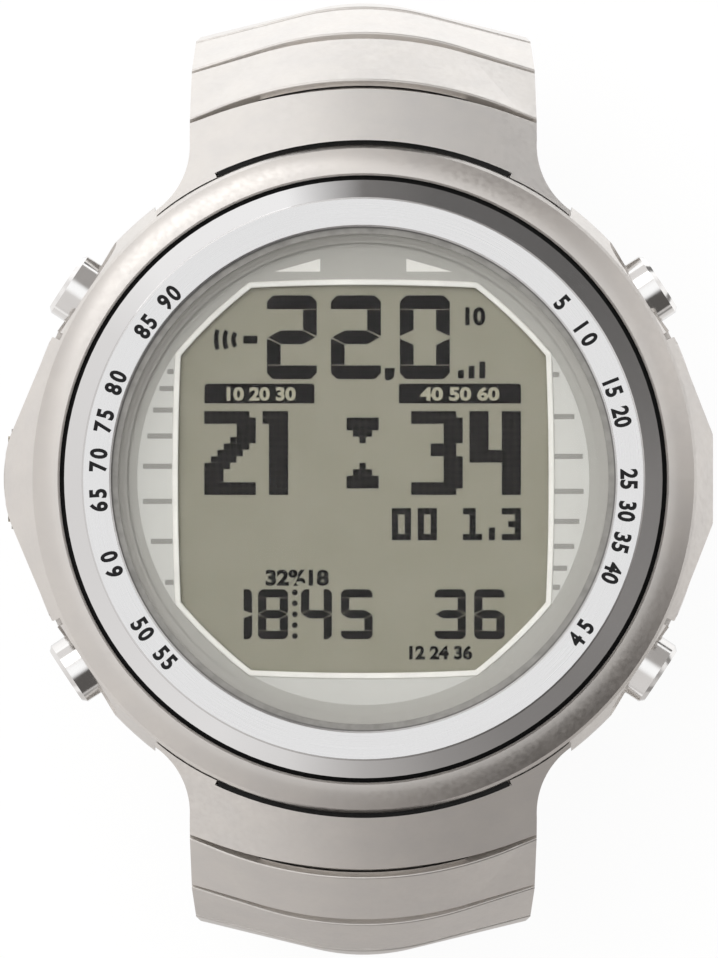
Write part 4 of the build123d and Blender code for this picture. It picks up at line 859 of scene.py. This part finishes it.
class DIVE_OT_add_bezel_numerals(DressOperator, Operator):
    """Sets the black numerals into the bezel's brushed face"""
    bl_idname = "dive.add_bezel_numerals"
    bl_label = "Add Bezel Numerals"

    # (numerals, angle of the first, angle of the last, whether their tops point outwards), in degrees
    legends = (("85 90", 146.3, 135.6, True), ("65 70 75 80", 186.0, 157.3, True),
               ("60", 200.5, 197.0, True), ("50 55", 212.9, 223.4, False), ("5 10", 41.6, 31.7, True),
               ("15 20", 21.5, 12.4, True), ("25 30 35 40", 1.1, -21.9, True), ("45", -37.0, -33.5, False))
    width, weight = 0.86, 0.04

    def execute(self, context):
        bezel, finish = context.scene.dive_bezel, context.scene.dive_finish
        radius, ink = bezel.numeral_radius, bezel.numeral_ink
        marks = Marks(BEZEL_FACE_Z - ink / 3, ink)      # a third of the ink lies in the face
        for numerals, first, last, outward in self.legends:
            step = (last - first) / max(1, len(numerals) - 1)
            for index, mark in enumerate(numerals):
                if mark == " ":
                    continue
                angle = radians(first + index * step)
                turn = angle - pi / 2 if outward else angle + pi / 2
                marks.numerals(mark, (radius * cos(angle), radius * sin(angle)), bezel.numeral_height,
                               self.width, self.weight, turn)
        material = printed_ink("numeral_ink", finish.ink, 0.45, 0.1, 0.15)
        marks.finish("bezel_numerals", material, "bezel_metal")
        return {"FINISHED"}


class DIVE_OT_add_slot_strips(DressOperator, Operator):
    """Fits black strips into the slots between the case and the end links, as painted shade where the deep
    slots are dark
    """
    bl_idname = "dive.add_slot_strips"
    bl_label = "Add Slot Strips"

    # Corners of the section as (radius, height), in millimetres.
    section = ((23.385, 12.3), (23.70, 12.3), (23.82, 11.4), (23.55, 11.4))
    half_angle, steps = 25.5, 48

    def execute(self, context):
        finish = context.scene.dive_finish
        bm = bmesh.new()
        for middle in (90, -90):
            start = Matrix.Rotation(radians(middle - self.half_angle), 4, "Z")
            ring = [bm.verts.new(start @ Vector(mm(radius, 0.0, z))) for radius, z in self.section]
            face = bm.faces.new(ring)
            bmesh.ops.spin(bm, geom=[face, *face.edges, *ring], cent=(0, 0, 0), axis=(0, 0, 1),
                           angle=radians(2 * self.half_angle), steps=self.steps, use_duplicate=False)
        bmesh.ops.remove_doubles(bm, verts=bm.verts, dist=0.001 * MM)
        # Painted shade: the strips take the black rubber finish only so that the deep slots look black
        finished_piece("slot_strips", bm, soft_rubber("slot_painted_shade", finish.rubber))
        return {"FINISHED"}


class DIVE_OT_build_stage(DressOperator, Operator):
    """Sets up the floor, the surroundings, the lamps and the camera over the display"""
    bl_idname = "dive.build_stage"
    bl_label = "Build Stage"

    # Brightness of the surroundings every 15 degrees of azimuth from 3 o'clock: well above the
    # horizon, on the floor close to the object, and on the floor further out, which the bezel's
    # slope mirrors.
    sky_levels = (0.54, 0.76, 0.8, 0.58, 0.32, 0.27, 0.68, 0.8, 0.78, 0.76, 0.7, 0.7, 0.74, 0.77, 0.76,
                  0.74, 0.68, 0.56, 0.34, 0.17, 0.1, 0.1, 0.15, 0.3)
    near_levels = (1.05, 1.05, 1.05, 1.1, 1.22, 1.28, 1.3, 1.28, 1.22, 1.1, 1.0, 0.95, 0.88, 0.82, 0.76,
                   0.7, 0.6, 0.52, 0.48, 0.5, 0.54, 0.62, 0.75, 0.95)
    far_levels = (0.18, 0.12, 0.085, 0.065, 0.07, 0.072, 0.15, 1.12, 1.1, 1.08, 0.9, 0.88, 0.85, 0.85,
                  0.88, 0.92, 0.95, 0.85, 0.5, 0.3, 0.215, 0.195, 0.22, 0.2)
    peak = 1.3                  # the highest level, of which colours hold a share
    dull_tint = (1.0, 0.93, 0.88)       # tone of the dullest surroundings
    zenith_level = 1.06
    under_level = 0.85          # floor right under the object
    white_level = 1.02          # floor seen directly, so that it is white with its share of shadow
    zenith_edge = (0.9985, 0.88)        # sines of the heights between which the zenith's level fades
    under_ring = (0.03, 0.045)          # radii where the floor under the object ends
    mirrored_ring = (0.105, 0.125)      # radii where the part that the slope mirrors begins
    fading_ring = (0.22, 0.25)          # radii where it ends
    floor_drop = 0.02                   # how far the floor is below the object, in millimetres
    picture_shape = 958 / 718           # the picture's height over its width

    # Side of each square lamp and its place, in metres.
    soft_lamp = (0.7, (-0.42, 0.62, 0.85))
    fill_lamp = (1.2, (-0.3, 0.4, 2.2))

    def grey(self, level):
        return (*[level / self.peak] * 3, 1.0)

    def round_levels(self, nodes, x, y, levels):
        """Brightness by azimuth, warmer where it is dull."""
        ramp = nodes.add("ShaderNodeValToRGB")
        turn = nodes.spread(nodes.maths("ARCTAN2", y, x), 0.0, 1.0, -pi, pi)
        nodes.link(turn, ramp.inputs[0])
        half = len(levels) // 2
        ordered = [*levels[half:], *levels[:half + 1]]
        stops = ramp.color_ramp.elements
        while len(stops) < len(ordered):
            stops.new(0.5)
        for index, level in enumerate(ordered):
            share = level / self.peak
            stops[index].position = index / (len(ordered) - 1)
            tinted = [share * (tone + (1.0 - tone) * share) for tone in self.dull_tint]
            stops[index].color = (*tinted, 1.0)
        return ramp.outputs["Color"]

    def floor_material(self, stage):
        """White to the camera, and shaded where metal and glass mirror it."""
        paint = Surface("floor_paint", stage.floor, roughness=0.9)
        paint.vary_colour(paint.noise(400.0), 0.004)
        x, y, _ = paint.parts(paint.place)
        radius = paint.across(x, y)
        further = paint.maths("MULTIPLY", paint.spread(radius, 0.0, 1.0, *self.mirrored_ring),
                              paint.spread(radius, 1.0, 0.0, *self.fading_ring))
        close = paint.blend(paint.spread(radius, 0.0, 1.0, *self.under_ring), self.grey(self.under_level),
                            self.round_levels(paint, x, y, self.near_levels))
        mirrored = paint.blend(further, close, self.round_levels(paint, x, y, self.far_levels))
        path = paint.add("ShaderNodeLightPath").outputs
        colour = paint.blend(path["Is Glossy Ray"], self.grey(self.white_level), mirrored)
        seen = paint.maths("MAXIMUM", path["Is Camera Ray"],
                           paint.maths("MAXIMUM", path["Is Glossy Ray"], path["Is Transmission Ray"]))
        lit = paint.mix(paint.maths("MULTIPLY", seen, 1.0 - stage.shadow), paint.shader.outputs["BSDF"],
                        paint.shine("ShaderNodeEmission", colour, self.peak))
        behind = paint.add("ShaderNodeNewGeometry").outputs["Backfacing"]
        from_below = paint.maths("MULTIPLY", behind, path["Is Camera Ray"])
        paint.show(paint.mix(from_below, lit, paint.add("ShaderNodeBsdfTransparent").outputs[0]))
        return paint.material

    def build_floor(self, stage):
        bm = bmesh.new()
        bmesh.ops.create_grid(bm, x_segments=8, y_segments=8, size=stage.floor_size / 2,
                              matrix=Matrix.Translation((0, 0, FLOOR_Z - self.floor_drop * MM)))
        floor = new_object("floor", bm, self.floor_material(stage))

    def build_world(self, scene):
        """White to the camera, and graded where metal and glass mirror it."""
        world = bpy.data.worlds.new("studio")
        world.use_nodes = True
        nodes = Nodes(world.node_tree)
        x, y, z = nodes.parts(nodes.add("ShaderNodeTexCoord").outputs["Generated"])
        colour = nodes.blend(nodes.spread(z, 0.0, 1.0, *self.zenith_edge, "SMOOTHSTEP"),
                             self.grey(self.zenith_level), self.round_levels(nodes, x, y, self.sky_levels))
        sky = nodes.shine("ShaderNodeBackground", colour, self.peak)
        white = nodes.shine("ShaderNodeBackground", (1.0, 1.0, 1.0, 1.0), 1.0)
        seen = nodes.add("ShaderNodeLightPath").outputs["Is Camera Ray"]
        output = nodes.add("ShaderNodeOutputWorld")
        nodes.link(nodes.mix(seen, sky, white), output.inputs["Surface"])
        scene.world = world

    def add_lamp(self, scene, name, power, size, place):
        """A square lamp aimed at the object."""
        lamp = bpy.data.lights.new(name, "AREA")
        lamp.shape = "SQUARE"
        lamp.size = size
        lamp.energy = power
        holder = bpy.data.objects.new(name, lamp)
        holder.location = place
        holder.rotation_euler = (-Vector(place)).to_track_quat("-Z", "Y").to_euler()
        holder.visible_camera = False
        scene.collection.objects.link(holder)
        return holder

    def add_camera(self, scene, stage):
        """A camera straight over the display."""
        data = bpy.data.cameras.new("camera")
        frame_height = stage.view_width * self.picture_shape
        data.lens = data.sensor_width * stage.camera_height / frame_height
        data.clip_start = 0.05
        data.clip_end = 20.0
        camera = bpy.data.objects.new("camera", data)
        camera.location = (-stage.view_left, 0.0, BEZEL_FACE_Z + stage.camera_height)
        scene.collection.objects.link(camera)
        scene.camera = camera

    def execute(self, context):
        scene, stage = context.scene, context.scene.dive_stage
        self.build_floor(stage)
        self.build_world(scene)
        self.add_lamp(scene, "soft_lamp", stage.lamp_power, *self.soft_lamp)
        fill = self.add_lamp(scene, "fill_lamp", stage.fill_power, *self.fill_lamp)
        fill.visible_glossy = False
        self.add_camera(scene, stage)
        scene.view_settings.view_transform = "Standard"
        return {"FINISHED"}


OPERATORS = (DIVE_OT_build_stage, DIVE_OT_finish_case, DIVE_OT_finish_module, DIVE_OT_finish_bracelet,
             DIVE_OT_add_mask_print, DIVE_OT_add_window_trim, DIVE_OT_add_display_digits,
             DIVE_OT_add_bezel_numerals, DIVE_OT_add_slot_strips)
GROUPS = (("dive_display", DisplaySettings), ("dive_bezel", BezelSettings), ("dive_finish", FinishSettings),
          ("dive_stage", StageSettings))


class DIVE_PT_panel(Panel):
    """Lists the dressing steps of the dive computer"""
    bl_label = "Dive Computer"
    bl_idname = "DIVE_PT_panel"
    bl_space_type = "VIEW_3D"
    bl_region_type = "UI"
    bl_category = "Dive Computer"

    def draw(self, context):
        for name, group in GROUPS:
            box = self.layout.box()
            for key in group.__annotations__:
                box.prop(getattr(context.scene, name), key)
        for operator in OPERATORS:
            self.layout.operator(operator.bl_idname)


def register():
    for name, group in GROUPS:
        bpy.utils.register_class(group)
        setattr(bpy.types.Scene, name, PointerProperty(type=group))
    for operator in OPERATORS:
        bpy.utils.register_class(operator)
    bpy.utils.register_class(DIVE_PT_panel)


def unregister():
    bpy.utils.unregister_class(DIVE_PT_panel)
    for operator in reversed(OPERATORS):
        bpy.utils.unregister_class(operator)
    for name, group in reversed(GROUPS):
        delattr(bpy.types.Scene, name)
        bpy.utils.unregister_class(group)


def main():
    register()
    for operator in OPERATORS:
        getattr(bpy.ops.dive, operator.bl_idname.split(".")[1])()


if __name__ == "__main__":
    main()
